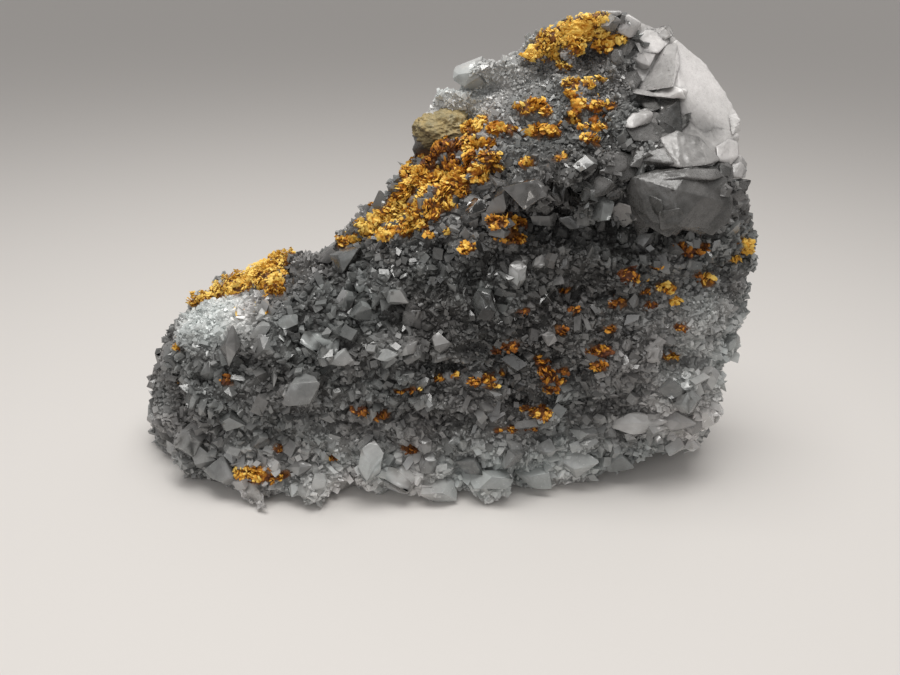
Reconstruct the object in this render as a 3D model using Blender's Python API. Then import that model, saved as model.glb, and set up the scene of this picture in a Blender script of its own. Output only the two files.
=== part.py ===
"""A realgar specimen: grey calcite matrix with ledges and crystals, white calcite, and realgar crusts.

The front view looks along +Y. Lists of sizes and places are in millimetres, and MM turns them into metres.
"""

import math
import random

import bmesh
import bpy
from mathutils import Euler, Matrix, Vector, noise
from mathutils.bvhtree import BVHTree

MM = 0.001

# Outline of the rock in the front view, (x, z), clockwise from the lower left corner.
OUTLINE = [
    (-192, -6), (-199, 12), (-198, 26), (-190, 42), (-183, 58), (-177, 76), (-170, 94), (-160, 103),
    (-144, 111), (-124, 124), (-98, 133), (-75, 136), (-61, 142), (-54, 154), (-47, 166), (-32, 175),
    (-23, 190), (-15, 201), (-14, 216), (-5, 228), (8, 240), (24, 252), (45, 263), (66, 272),
    (84, 278), (94, 282), (104, 271), (124, 251), (140, 238), (150, 224), (160, 210), (174, 205),
    (183, 188), (187, 162), (190, 134), (193, 106), (192, 82), (183, 66), (186, 48), (188, 28),
    (182, 12), (168, 4), (150, -6),
]
# Where the steep front face turns back into the sloping top, (x, z, y).
BROW = [
    (-196, 40, 6), (-175, 78, -6), (-148, 104, -19), (-125, 108, -26), (-102, 116, -31),
    (-74, 128, -26), (-54, 138, -22), (-22, 150, -25), (0, 160, -29), (16, 170, -32), (32, 187, -31),
    (52, 203, -29), (83, 211, -27), (103, 214, -25), (131, 210, -24), (162, 196, -12), (190, 150, -6),
]
# The foot of the front face seen from above, (x, y).
FOOT = [
    (-196, 6), (-182, -8), (-160, -26), (-136, -41), (-110, -48), (-60, -46), (0, -45), (60, -42),
    (100, -36), (140, -30), (170, -20), (190, -4),
]
BACK_Y = 38
BACK_BOW = 5
TOP_Y = 39
LEAST_THICKNESS = 9

# Shelves and hollows of the broken front: (x, z, half width, half height, how far out; negative is a hollow).
RELIEF = [
    (138, 228, 30, 26, -5),
    (94, 167, 50, 9, -18), (46, 177, 24, 10, -13), (-66, 141, 30, 11, -15), (10, 152, 34, 6, -9),
    (92, 134, 40, 6, -11), (30, 90, 36, 6, -10), (98, 64, 34, 6, -10), (-30, 60, 40, 6, -9),
    (-116, 88, 12, 10, -9), (-160, 50, 13, 14, -10), (-14, 196, 16, 10, -9), (150, 132, 22, 6, -6),
    (-72, 98, 46, 12, 5), (150, 62, 26, 18, 9), (168, 104, 18, 22, 5), (60, 112, 40, 10, 4),
    (-112, 12, 28, 10, 5), (-72, 18, 24, 12, 6), (-10, 14, 30, 10, 5), (40, 36, 34, 12, 4),
    (62, 198, 34, 8, 6), (-140, 72, 20, 14, 4), (20, 128, 30, 8, 4), (110, 92, 26, 9, 6),
]
# Rise of the underside at the right front, where the rock doesn't reach what it stands on.
LIFT_HEIGHT = 17
LIFT_X = (84, 128)
LIFT_Y = (12, -14)
# Crumpled relief: (size of the lumps, height).
LUMPS = [(26, 3.0), (11, 2.0)]
FRACTURE_CELL = 17
FRACTURE_RISE = 3.0
FRACTURE_TILT = 0.42
SLAB_CELL = 6
ROCK_CELL = 4.4
ROCK_FACES = 2000
STEADY = 7

# The rounded altered lump under the upper crust: centre and half sizes.
ALTERED_LUMP = ((0, 27, 210), (17, 12, 12))

# Large crystals of the matrix: (kind, x, z, half length, half width, lean from upright, lean out).
LARGE_CRYSTALS = [
    ("block", -79, 81, 14, 12, 20, 15), ("tooth", -119, 100, 15, 6, -10, 10), ("block", -65, 99, 11, 10, 40, 0),
    ("tooth", -94, 88, 9, 5, 170, 10), ("lens", -30, 98, 11, 5, 80, 0), ("lens", -16, 103, 9, 5, 60, 10),
    ("tooth", -25, 134, 8, 6, 30, 20), ("block", -43, 122, 7, 6, 10, 0), ("barrel", 36, 144, 9, 7, 0, 0),
    ("tooth", 24, 131, 13, 8, 150, 0), ("tooth", 63, 110, 7, 5, 190, 0), ("block", 123, 101, 7, 6, 30, 10),
    ("block", 136, 77, 8, 7, 50, 0), ("lens", 126, 47, 24, 8, 86, 10), ("block", 154, 76, 12, 11, 20, 10),
    ("block", 166, 50, 13, 12, 60, 0), ("barrel", -42, 22, 15, 10, 5, 10), ("tooth", -180, 16, 15, 9, -5, 10),
    ("barrel", -158, 22, 12, 10, 10, 10), ("lens", -116, 9, 20, 10, 80, 0), ("barrel", -78, 12, 15, 12, 70, 0),
    ("lens", -8, 11, 20, 9, 84, 10), ("block", 30, 10, 14, 9, 70, 0), ("tooth", 50, 197, 12, 8, 10, 20),
    ("block", 68, 203, 12, 9, 30, 10), ("barrel", 86, 205, 11, 8, -20, 10), ("block", 82, 187, 11, 9, 10, 0),
    ("tooth", 60, 184, 9, 6, 160, 0), ("block", 32, 176, 10, 8, 30, 0), ("block", 14, 160, 8, 7, 40, 0),
    ("tooth", -20, 43, 8, 5, 20, 0), ("lens", 25, 60, 8, 5, 70, 0), ("block", 16, 50, 7, 6, 20, 0),
    ("block", 70, 60, 9, 7, 40, 10), ("block", 96, 84, 8, 7, 10, 0), ("tooth", -135, 84, 8, 5, 30, 10),
]
# Small crystals sown over the whole rock: how many, and their half length from and to.
SOWN_CRYSTALS = 50
SOWN_SIZE = (4.0, 8.5)
SOWN_SEED = 11
BURIED = 0.35

# White calcite at the upper right: the corners (x, y, z) of each large flat-faced crystal.
WHITE_CRYSTALS = {
    "tall_tooth": [
        (133, 34, 264), (112, 18, 238), (118, 6, 236), (129, -2, 238), (132, -6, 219), (148, -10, 212),
        (166, 4, 217), (171, 14, 223), (163, 26, 237), (153, 34, 250), (140, 42, 222), (120, 38, 232),
    ],
    "brow": [(113, 4, 237), (124, 1, 243), (132, -5, 241), (131, -5, 235), (122, 16, 230), (132, 12, 240)],
    "blade": [(97, -5, 222), (109, -8, 232), (118, -6, 229), (117, -9, 222), (106, -11, 220), (114, 10, 222)],
    "fan": [
        (118, -19, 217), (128, -15, 221), (139, -15, 218), (150, -19, 208), (144, -26, 205),
        (125, -30, 204), (120, -27, 208), (130, 4, 204), (142, 6, 212),
    ],
    "lower_lump": [
        (98, -24, 191), (112, -22, 203), (126, -29, 205), (145, -26, 206), (149, -31, 200), (155, -34, 190),
        (155, -36, 178), (146, -38, 171), (130, -42, 178), (117, -41, 187), (104, -34, 189), (122, -2, 190),
        (147, -2, 188),
    ],
    "lower_wedge": [
        (100, -27, 189), (117, -40, 187), (128, -43, 181), (121, -43, 171), (112, -39, 175), (105, -32, 180),
        (116, -8, 184),
    ],
    "left_lump": [(84, -22, 207), (93, -24, 213), (107, -18, 208), (107, -26, 200), (95, -31, 198), (98, -2, 205)],
    "nub": [(144, -22, 204), (152, -16, 208), (159, -18, 203), (157, -25, 197), (149, -29, 198), (148, -2, 201)],
    "right_lump": [(157, -10, 206), (166, -8, 208), (172, -4, 202), (169, -13, 196), (160, -16, 196), (156, 8, 199)],
    "summit": [
        (97, 37, 277), (113, 34, 271), (134, 36, 264), (138, 20, 244), (116, 12, 238), (103, 20, 250),
        (93, 27, 262), (132, 42, 236), (104, 43, 258),
    ],
    "middle": [
        (118, -4, 233), (131, -7, 221), (150, -12, 213), (167, 2, 217), (168, 3, 204), (150, -16, 205),
        (130, -14, 214), (118, -2, 220), (132, 26, 212), (160, 24, 212),
    ],
}

# Realgar crusts: each is a run of crumbs, (x, z, half width), set on the rock as the front view shows them.
CRUSTS = {
    "realgar_crust_summit": [(51, 255, 8), (63, 263, 10), (77, 267, 10), (90, 266, 9), (72, 256, 8)],
    "realgar_crust_slope": [(78, 238, 9), (74, 229, 9), (85, 230, 7), (79, 219, 8)],
    "realgar_crust_middle": [(48, 231, 7), (57, 229, 5)],
    "realgar_crust_brow": [(50, 218, 6), (60, 221, 6)],
    "realgar_crust_ridge": [
        (30, 217, 7), (18, 213, 9), (6, 203, 10), (22, 203, 9), (-8, 191, 10), (12, 192, 10), (-20, 181, 9),
        (-2, 180, 11), (-14, 170, 9), (-30, 168, 9), (-25, 160, 7), (-43, 155, 9), (-55, 147, 8),
    ],
    "realgar_crust_hollow": [(31, 171, 8), (42, 170, 8)],
    "realgar_crust_shoulder": [(-129, 116, 9), (-116, 120, 11), (-103, 125, 10), (-104, 117, 9), (-119, 113, 6)],
    "realgar_patch_left": [(-46, 62, 7), (-36, 60, 6)],
    "realgar_patch_centre": [(23, 84, 6), (33, 83, 6)],
    "realgar_patch_column": [(62, 91, 6), (67, 79, 7)],
    "realgar_patch_right": [(94, 100, 7), (93, 93, 6)],
    "realgar_patch_low": [(58, 60, 8)],
    "realgar_patch_flame": [(105, 146, 7), (115, 139, 6)],
    "realgar_patch_ember": [(132, 133, 7)],
    "realgar_patch_rust": [(141, 159, 8)],
    "realgar_patch_corner": [(180, 153, 6)],
    "realgar_patch_foot": [(-116, 20, 8), (-105, 20, 7)],
}
CRUMB_HEIGHT = 2.0
CRUMB_SPREAD = 1.35
CRUMB_POINTS = 8
VEIN_HALF = 2.2
VEIN_FROM = 0.8
CRUMB_SEED = 5
GAP = 0.4

MATERIALS = {
    "grey_calcite": ((0.115, 0.115, 0.12, 1), 0.42),
    "white_calcite": ((0.62, 0.61, 0.60, 1), 0.30),
    "realgar": ((0.66, 0.36, 0.055, 1), 0.75),
}


def along(table, x, column):
    """The value in a column of a table of stations, worked out between the two stations beside x."""
    if x <= table[0][0]:
        return table[0][column]
    for a, b in zip(table, table[1:]):
        if x <= b[0]:
            share = (x - a[0]) / (b[0] - a[0])
            return a[column] + (b[column] - a[column]) * share
    return table[-1][column]


def ease(value):
    """0 below 0, 1 above 1, and a smooth step between."""
    value = min(1.0, max(0.0, value))
    return value * value * (3 - 2 * value)


def outline_top(x):
    """Height of the outline's upper edge above a place along the front."""
    crossings = [0.0]
    for (x0, z0), (x1, z1) in zip(OUTLINE, OUTLINE[1:]):
        if min(x0, x1) <= x <= max(x0, x1) and x0 != x1:
            crossings.append(z0 + (z1 - z0) * (x - x0) / (x1 - x0))
    return max(crossings)


def outline_distance(x, z):
    """How far a point of the front view is from the nearest edge of the outline."""
    point = Vector((x, z))
    nearest = 1e9
    for a, b in zip(OUTLINE, OUTLINE[1:] + OUTLINE[:1]):
        start, run = Vector(a), Vector(b) - Vector(a)
        share = min(1.0, max(0.0, (point - start).dot(run) / run.length_squared))
        nearest = min(nearest, (start + run * share - point).length)
    return nearest


def relief(x, z):
    """Shelves and hollows, with their edges made ragged."""
    ragged = noise.noise(Vector((x / 18, 3.1, z / 18))) * 6
    out = 0.0
    for cx, cz, half_x, half_z, height in RELIEF:
        reach = ((x - cx) / half_x) ** 2 + ((z - cz + ragged) / half_z) ** 2
        out += height * math.exp(-reach * reach)
    return out


def front_y(x, z):
    """Where the front surface stands at a point of the front view. Towards the viewer is negative."""
    brow_z, brow_y = along(BROW, x, 1), along(BROW, x, 2)
    if z > brow_z:
        climb = (z - brow_z) / max(12.0, outline_top(x) - brow_z)
        y = brow_y + (TOP_Y - brow_y) * min(1.0, climb)
    else:
        foot = along(FOOT, x, 1)
        y = foot + (brow_y - foot) * ease(z / brow_z * 2 - 1)
    return y - relief(x, z)


def back_y(x, z):
    """Where the broken back stands."""
    return BACK_Y + BACK_BOW * (0.5 - (x / 190) ** 2) - 6 * ease((z - 170) / 110)


def underside(x, y):
    """Height of the underside above what the rock stands on."""
    out_right = ease((x - LIFT_X[0]) / (LIFT_X[1] - LIFT_X[0]))
    out_front = ease((y - LIFT_Y[0]) / (LIFT_Y[1] - LIFT_Y[0]))
    return LIFT_HEIGHT * out_right * out_front - STEADY * (1 - out_right * out_front)


def add_object(name, bm):
    """An object made from a bmesh, linked to the scene."""
    mesh = bpy.data.meshes.new(name)
    bm.to_mesh(mesh)
    bm.free()
    obj = bpy.data.objects.new(name, mesh)
    bpy.context.scene.collection.objects.link(obj)
    return obj


def settle(obj):
    """Works an object's modifiers into its mesh."""
    shown = obj.evaluated_get(bpy.context.evaluated_depsgraph_get())
    mesh = bpy.data.meshes.new_from_object(shown)
    obj.modifiers.clear()
    obj.data = mesh
    return obj


def remesh(obj, cell):
    modifier = obj.modifiers.new("even_cells", "REMESH")
    modifier.mode = "VOXEL"
    modifier.voxel_size = cell * MM
    return settle(obj)


def thin_out(obj, faces):
    """Collapses a triangulated mesh to about a number of faces."""
    triangles = sum(len(p.vertices) - 2 for p in obj.data.polygons)
    modifier = obj.modifiers.new("large_facets", "DECIMATE")
    modifier.ratio = min(1.0, faces / triangles)
    modifier.use_collapse_triangulate = True
    return settle(obj)


def boolean(obj, operation, others):
    """Joins or cuts an object with others, which are then removed."""
    group = bpy.data.collections.new("operands")
    for other in others:
        group.objects.link(other)
    modifier = obj.modifiers.new(operation.lower(), "BOOLEAN")
    modifier.operation = operation
    modifier.operand_type = "COLLECTION"
    modifier.collection = group
    modifier.solver = "EXACT"
    modifier.use_self = True
    settle(obj)
    for other in others:
        bpy.data.objects.remove(other)
    bpy.data.collections.remove(group)
    return obj


def keep_largest(obj):
    """Drops the loose crumbs that a cut or a remesh leaves, keeping the piece with the most faces."""
    bm = bmesh.new()
    bm.from_mesh(obj.data)
    left, groups = set(bm.verts), []
    while left:
        edge, found = [left.pop()], set()
        while edge:
            vert = edge.pop()
            found.add(vert)
            near = {e.other_vert(vert) for e in vert.link_edges} & left
            left -= near
            edge.extend(near)
        groups.append(found)
    largest = max(groups, key=len)
    bmesh.ops.delete(bm, geom=[v for g in groups if g is not largest for v in g], context="VERTS")
    bm.to_mesh(obj.data)
    bm.free()
    return obj


def flat_foot(obj):
    """Cuts the underside off flat where the rock rests."""
    bm = bmesh.new()
    bm.from_mesh(obj.data)
    everything = bm.verts[:] + bm.edges[:] + bm.faces[:]
    bmesh.ops.bisect_plane(bm, geom=everything, plane_co=(0, 0, 0), plane_no=(0, 0, 1), clear_inner=True)
    rim = [e for e in bm.edges if e.is_boundary]
    bmesh.ops.triangle_fill(bm, edges=rim, use_beauty=True, use_dissolve=False)
    bmesh.ops.recalc_face_normals(bm, faces=bm.faces[:])
    bm.to_mesh(obj.data)
    bm.free()
    return obj


def crystal(kind, half_length, half_width, half_depth, turn, place):
    """One crystal with flat faces, long axis upright before it is turned: (millimetres, Euler, Vector)."""
    bm = bmesh.new()
    if kind == "block":
        bmesh.ops.create_cube(bm, size=2)
        shear = Matrix(((1, 0.25, 0.3, 0), (0, 1, 0.2, 0), (0, 0, 1, 0), (0, 0, 0, 1)))
        bmesh.ops.transform(bm, matrix=shear, verts=bm.verts[:])
        size = 0.8
    elif kind == "barrel":
        bmesh.ops.create_uvsphere(bm, u_segments=6, v_segments=3, radius=1)
        size = 1.0
    else:
        bmesh.ops.create_uvsphere(bm, u_segments=6, v_segments=2, radius=1)
        ring = [v for v in bm.verts if abs(v.co.z) < 0.5]
        for step, vert in enumerate(sorted(ring, key=lambda v: math.atan2(v.co.y, v.co.x))):
            vert.co.z = 0.16 if step % 2 else -0.16
        size = 1.0
    flat = 0.55 if kind == "lens" else 1.0
    scale = Matrix.Diagonal((half_width * size, half_depth * flat * size, half_length * size, 1))
    place_matrix = Matrix.Translation(place * MM) @ turn.to_matrix().to_4x4() @ scale @ Matrix.Scale(MM, 4)
    bmesh.ops.transform(bm, matrix=place_matrix, verts=bm.verts[:])
    bmesh.ops.recalc_face_normals(bm, faces=bm.faces[:])
    return add_object("crystal", bm)


def surface_of(obj):
    """A tree for finding points on an object's surface, in metres."""
    bm = bmesh.new()
    bm.from_mesh(obj.data)
    tree = BVHTree.FromBMesh(bm)
    bm.free()
    return tree


def on_front(tree, x, z):
    """The point and normal where the front is met from the viewer's side, in millimetres."""
    point, normal, _, _ = tree.ray_cast(Vector((x * MM, -1, z * MM)), Vector((0, 1, 0)))
    if point is None:
        point, normal, _, _ = tree.find_nearest(Vector((x * MM, 0, z * MM)))
    return point / MM, normal


def slab():
    """The rock's mass: the outline drawn back into a slab, moulded to the front, back and underside."""
    bm = bmesh.new()
    corners = [bm.verts.new((x * MM, -0.5 * 0.1, z * MM)) for x, z in OUTLINE]
    drawn = bmesh.ops.extrude_face_region(bm, geom=[bm.faces.new(corners)])
    far_side = [v for v in drawn["geom"] if isinstance(v, bmesh.types.BMVert)]
    bmesh.ops.translate(bm, verts=far_side, vec=(0, 0.1, 0))
    bmesh.ops.recalc_face_normals(bm, faces=bm.faces[:])
    obj = remesh(add_object("calcite_matrix", bm), SLAB_CELL)
    for vert in obj.data.vertices:
        x, z = vert.co.x / MM, vert.co.z / MM
        share = (vert.co.y / MM + 50) / 100
        edge = outline_distance(x, z)
        back = back_y(x, z) - 10 * math.exp(-edge / 8)
        front = min(front_y(x, z) + 9 * math.exp(-edge / 6), back - LEAST_THICKNESS)
        y = front + (back - front) * share
        low = underside(x, y)
        vert.co = Vector((x, y, max(z, low))) * MM
    return obj


def crumple(obj):
    """Broken relief: lumps of two sizes, and flat facets that each lean their own way."""
    mesh = obj.data
    moves = []
    for vert in mesh.vertices:
        p = vert.co / MM
        out = sum(height * noise.noise(p / size) for size, height in LUMPS)
        distances, centres = noise.voronoi(p / FRACTURE_CELL)
        lean = noise.cell_vector(centres[0] * 9.7) - Vector((0.5, 0.5, 0.5))
        out += FRACTURE_RISE * (0.45 - distances[0])
        out += 2 * FRACTURE_TILT * lean.dot(p - centres[0] * FRACTURE_CELL)
        moves.append(vert.co + vert.normal * max(-6.0, min(6.0, out)) * MM)
    for vert, place in zip(mesh.vertices, moves):
        vert.co = place
    return obj


def turned(lean, out):
    """Turn of a crystal in the front view: lean from upright to the right, and out towards the viewer."""
    return Euler((math.radians(out), math.radians(lean), math.radians(lean * 1.7)))


def matrix_crystals(rock):
    """The crystals that grow out of the rock: the large ones by name, then the sown ones."""
    tree = surface_of(rock)
    made = []
    for kind, x, z, half_length, half_width, lean, out in LARGE_CRYSTALS:
        point, _ = on_front(tree, x, z)
        point.y += half_width * 0.2
        made.append(crystal(kind, half_length, half_width, half_width, turned(lean, out), point))
    draw = random.Random(SOWN_SEED)
    faces = rock.data.polygons
    weights = [f.area * (0.3 if f.normal.y > 0.3 else 1) for f in faces]
    for face in draw.choices(faces, weights=weights, k=SOWN_CRYSTALS):
        length = draw.uniform(*SOWN_SIZE)
        width = length * draw.uniform(0.6, 0.9)
        turn = face.normal.to_track_quat("Z", "Y").to_euler()
        turn.rotate(Euler([draw.uniform(-0.6, 0.6) for _ in range(3)]))
        point = face.center / MM - face.normal * length * BURIED
        if point.z > length:
            made.append(crystal(draw.choice(("block", "barrel", "tooth")), length, width, width, turn, point))
    return made


def altered_lump():
    centre, halves = ALTERED_LUMP
    bm = bmesh.new()
    bmesh.ops.create_icosphere(bm, subdivisions=2, radius=MM)
    for vert in bm.verts:
        vert.co *= 1 + 0.22 * noise.noise(vert.co / MM * 1.7)
    shape = Matrix.Translation(Vector(centre) * MM) @ Matrix.Diagonal((*halves, 1))
    bmesh.ops.transform(bm, matrix=shape, verts=bm.verts[:])
    return add_object("altered_lump", bm)


def hull(corners, matrix):
    """The flat-faced solid that just holds a set of corners."""
    bm = bmesh.new()
    for corner in corners:
        bm.verts.new(matrix @ Vector(corner))
    wrapped = bmesh.ops.convex_hull(bm, input=bm.verts[:])
    inside = [v for v in wrapped["geom_interior"] if isinstance(v, bmesh.types.BMVert)]
    bmesh.ops.delete(bm, geom=inside, context="VERTS")
    bmesh.ops.recalc_face_normals(bm, faces=bm.faces[:])
    return add_object("hull", bm)


def white_blocks():
    """The crystals that make up the white calcite, one by one."""
    return [hull(corners, Matrix.Scale(MM, 4)) for corners in WHITE_CRYSTALS.values()]


def white_calcite():
    """The white calcite: large crystals grown into one another."""
    body, *others = white_blocks()
    body.name = "white_calcite"
    return keep_largest(boolean(body, "UNION", others))


def crumb(point, normal, half_width, draw):
    """One angular crumb of realgar, half sunk in the rock."""
    places = []
    for step in range(CRUMB_POINTS):
        angle = (step + draw.uniform(-0.3, 0.3)) * math.tau / CRUMB_POINTS
        level = 0.8 * (step % 3 - 1) + draw.uniform(-0.2, 0.2)
        flat = math.sqrt(max(0.1, 1 - level * level))
        places.append((math.cos(angle) * flat, math.sin(angle) * flat, level))
    turn = normal.to_track_quat("Z", "Y").to_matrix().to_4x4()
    spread = half_width * CRUMB_SPREAD
    shape = Matrix.Diagonal((spread, spread, CRUMB_HEIGHT + half_width * 0.34, 1))
    return hull(places, Matrix.Translation(point * MM) @ turn @ shape @ Matrix.Scale(MM, 4))


def vein(start, end):
    """A thin vein of realgar that joins two crumbs that stand apart."""
    run = (end - start).normalized()
    side = run.orthogonal().normalized() * VEIN_HALF
    other = run.cross(side)
    corners = [p + offset for p in (start, end) for offset in (side, other, -side, -other)]
    return hull(corners, Matrix.Scale(MM, 4))


def crust_crumbs(patches, rock):
    """The crumbs of one realgar crust, with veins between those that don't reach each other."""
    draw = random.Random(CRUMB_SEED + len(patches))
    made, placed = [], []
    for x, z, half_width in patches:
        point, normal = on_front(rock, x, z)
        made.append(crumb(point, normal, half_width, draw))
        if placed:
            distance, nearest, reach = min(((p - point).length, i, r) for i, (p, r) in enumerate(placed))
            if distance > VEIN_FROM * (half_width + reach):
                made.append(vein(placed[nearest][0], point))
        placed.append((point, half_width))
    return made


def crust(name, crumbs):
    """One realgar crust: its crumbs joined."""
    body, *others = crumbs
    body.name = name
    return keep_largest(boolean(body, "UNION", others))


def grown(obj, keep=True):
    """A copy of an object, larger all round by the gap that touching pieces keep."""
    bm = bmesh.new()
    bm.from_mesh(obj.data)
    bm.normal_update()
    moves = [v.co + v.normal * GAP * MM * min(3.0, v.calc_shell_factor()) for v in bm.verts]
    for vert, place in zip(bm.verts, moves):
        vert.co = place
    if not keep:
        bpy.data.objects.remove(obj)
    return add_object("grown_copy", bm)


def white_cutters():
    return [grown(block, keep=False) for block in white_blocks()]


def give_material(obj, slot):
    colour, roughness = MATERIALS[slot]
    material = bpy.data.materials.get(slot) or bpy.data.materials.new(slot)
    material.use_nodes = True
    shader = material.node_tree.nodes["Principled BSDF"]
    shader.inputs["Base Color"].default_value = colour
    shader.inputs["Roughness"].default_value = roughness
    shader.inputs["Metallic"].default_value = 0.0
    obj.data.materials.clear()
    obj.data.materials.append(material)


def centre_on_base(objects):
    """Moves all pieces so that the origin is at the bottom centre of their common box."""
    points = [v.co for obj in objects for v in obj.data.vertices]
    low = Vector(min(p[axis] for p in points) for axis in range(3))
    high = Vector(max(p[axis] for p in points) for axis in range(3))
    shift = Vector((-(low.x + high.x) / 2, -(low.y + high.y) / 2, -low.z))
    for obj in objects:
        obj.data.transform(Matrix.Translation(shift))
    return shift


def main():
    for obj in list(bpy.data.objects):
        bpy.data.objects.remove(obj)
    rock = thin_out(crumple(remesh(slab(), ROCK_CELL)), ROCK_FACES)
    white = white_calcite()
    rock = boolean(rock, "UNION", matrix_crystals(rock) + [altered_lump()])
    rock = flat_foot(keep_largest(rock))
    tree = surface_of(rock)
    crusts = [crust(name, crust_crumbs(patches, tree)) for name, patches in CRUSTS.items()]
    crusts = [keep_largest(boolean(piece, "DIFFERENCE", white_cutters())) for piece in crusts]
    rock = boolean(rock, "DIFFERENCE", white_cutters())
    crumbs = [crumb for patches in CRUSTS.values() for crumb in crust_crumbs(patches, tree)]
    rock = keep_largest(boolean(rock, "DIFFERENCE", [grown(crumb, keep=False) for crumb in crumbs]))
    give_material(rock, "grey_calcite")
    give_material(white, "white_calcite")
    for piece in crusts:
        give_material(piece, "realgar")
    return centre_on_base([rock, white, *crusts])


if __name__ == "__main__":
    main()
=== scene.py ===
"""Looks of the realgar specimen: grey calcite rock, white calcite crystals, and crumbly realgar crusts."""

import math
import random

import bmesh
import bpy
import numpy as np
from mathutils import Matrix, Vector, noise
from mathutils.bvhtree import BVHTree


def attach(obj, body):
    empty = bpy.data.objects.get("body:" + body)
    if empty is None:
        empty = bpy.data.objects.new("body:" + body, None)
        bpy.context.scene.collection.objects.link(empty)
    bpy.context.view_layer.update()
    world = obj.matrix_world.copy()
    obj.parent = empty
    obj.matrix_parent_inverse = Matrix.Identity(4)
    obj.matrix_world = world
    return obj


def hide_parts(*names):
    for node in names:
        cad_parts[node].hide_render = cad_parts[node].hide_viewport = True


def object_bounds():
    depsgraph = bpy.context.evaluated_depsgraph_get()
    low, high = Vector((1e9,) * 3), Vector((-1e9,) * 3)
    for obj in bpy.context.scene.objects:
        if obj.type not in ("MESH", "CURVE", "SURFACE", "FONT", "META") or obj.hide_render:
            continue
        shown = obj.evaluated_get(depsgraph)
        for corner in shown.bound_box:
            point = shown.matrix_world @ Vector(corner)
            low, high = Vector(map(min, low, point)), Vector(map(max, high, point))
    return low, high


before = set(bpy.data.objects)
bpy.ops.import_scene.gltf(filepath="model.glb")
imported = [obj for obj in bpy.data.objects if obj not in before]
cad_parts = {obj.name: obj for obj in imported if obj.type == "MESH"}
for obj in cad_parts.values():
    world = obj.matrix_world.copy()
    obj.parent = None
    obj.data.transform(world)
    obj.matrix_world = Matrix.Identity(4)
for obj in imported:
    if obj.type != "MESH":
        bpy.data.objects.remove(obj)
cad_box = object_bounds()

MM = 0.001

# Camera: place, then turns about its own view axis, up and down, and about the vertical.
CAMERA_PLACE = (-3.5, -395.5, 296.5)
CAMERA_LENS = 28.74
CAMERA_ROLL, CAMERA_TILT, CAMERA_YAW = 1.136, 62.82, -1.604
PICTURE = (900, 675)
SENSOR = 36
FOCAL = CAMERA_LENS / SENSOR * PICTURE[0]
# The CAD model's box, which every piece stays inside.
CAD_BOX = np.array(cad_box)
# From the frame in which the specimen was measured to the model's frame.
ROW_TO_MODEL = (0.59, 8.51, 0.0)

# How fine each surface is, in mm.
ROCK_CELL = 2.0
CRUST_CELL = 0.75
WHITE_CELL = 1.8
# Edges of a worn crystal are halved while they are longer than this, in its own units.
LONG_EDGE = 0.3
# The grains sown all over the rock: how many, least half size and added half size in mm, power, how far they
# rise, how wildly they lean, how far they stay above the floor, and seed.
GRIT = (38000, 0.5, 1.0, 1.5, 0.5, 0.9, 1.5, 11)
GRAINS = (27500, 0.9, 2.0, 2.0, 0.35, 0.8, 2.0, 21)
CRYSTALS = (6200, 1.9, 3.0, 1.9, 0.25, 0.9, 4.0, 41)
# The larger crystals of the back: how many are sown all over, least half size, added half size, and seed.
BACK_CRYSTALS = (300, 3.5, 6.5, 91)
# Finer grains are sown more thickly, by this power of their size.
CROWDING = -1.4
# How thickly grains are sown where the rock faces back more than this, against 1 elsewhere.
BACK_SHARE = 0.6
FACING_BACK = 0.5
# Grains keep this far from the lump's centre, in its own half sizes, and come nearer above it.
LUMP_GAP = 1.25
# Grains are left out where a larger crystal holds more of the place than this: 1 at its middle, 0 at its reach.
HELD_SHARE = 0.25
# The share of the grains that keep their tone, and how much lighter the others are.
LIGHT_GRAINS = (0.93, 0.12)
# How much a value changes from a shape's middle to its tip: painted light and shade, with lighter tips and darker
# bases of calcite crystals, and brighter tops of realgar flakes where light falls from above.
TIP_PAINTED_LIGHT = 0.07
FLAKE_TOP_PAINTED_LIGHT = -0.14
# Larger crystals of the back grow only where the rock faces back more than this, and this far up in mm.
BACK_FROM = (0.3, 10)
# No corner of a white crystal is further back than this behind the middle one of its corners, in mm.
FARTHEST = 12
# Realgar patches with less reach than this, in metres, are streaks: this squeeze of x, y and z draws them out.
STREAK_BELOW = 0.0055
STREAK = (0.72, 0.8, 1.35)
# Realgar with a lower depth of colour than this is in finer crumbs.
FINE_BELOW = 0.13
# The crusts are pitted where their small chance waves, with this seed, are lower than this.
PIT_SEED = 5
PIT_BELOW = -0.45
# The grains are kept in parts: whether in front of this depth, and from where to where across, in metres.
PART_DEPTH = 0.018
PARTS = {
    "front_1": (True, -1, -0.085), "front_2": (True, -0.085, 0.0), "front_3": (True, 0.0, 0.085),
    "front_4": (True, 0.085, 1), "back_1": (False, -1, -0.06), "back_2": (False, -0.06, 0.04),
    "back_3": (False, 0.04, 0.11), "back_4": (False, 0.11, 1),
}
# Realgar sown all over and kept in its patches: how many, least half size, added half size and height of the
# heap in mm, and seed.
PLATES = (310000, 0.75, 1.75, 3.4, 61)
CHIPS = (140000, 0.5, 1.0, 2.6, 71)
# Plates and chips are kept in two pieces: the upper one is right of and above this, in metres.
UPPER_FROM = (-0.08, 0.15)
# The altered lump's centre and half sizes in mm.
OLIVE_LUMP = ((3.5, 34.0, 212.0), (18.0, 13.0, 12.5))
# Coordinates are squeezed this much, so that the rock's ledges and the crust's shelves run across.
LEDGES = (0.4, 0.8, 1.3)
SHELVES = (0.6, 0.8, 1.4)
# Crystals of the white cluster with a lower tone than this are clear and smoky.
SMOKY_BELOW = 0.27
# The white crystals' cleavage: coordinates are squeezed along the tooth, so that their relief runs that way.
CLEAVAGE = ((0.62, 0.0, 0.42), (0.0, 1.0, 0.0), (0.42, 0.0, 0.75))
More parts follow.
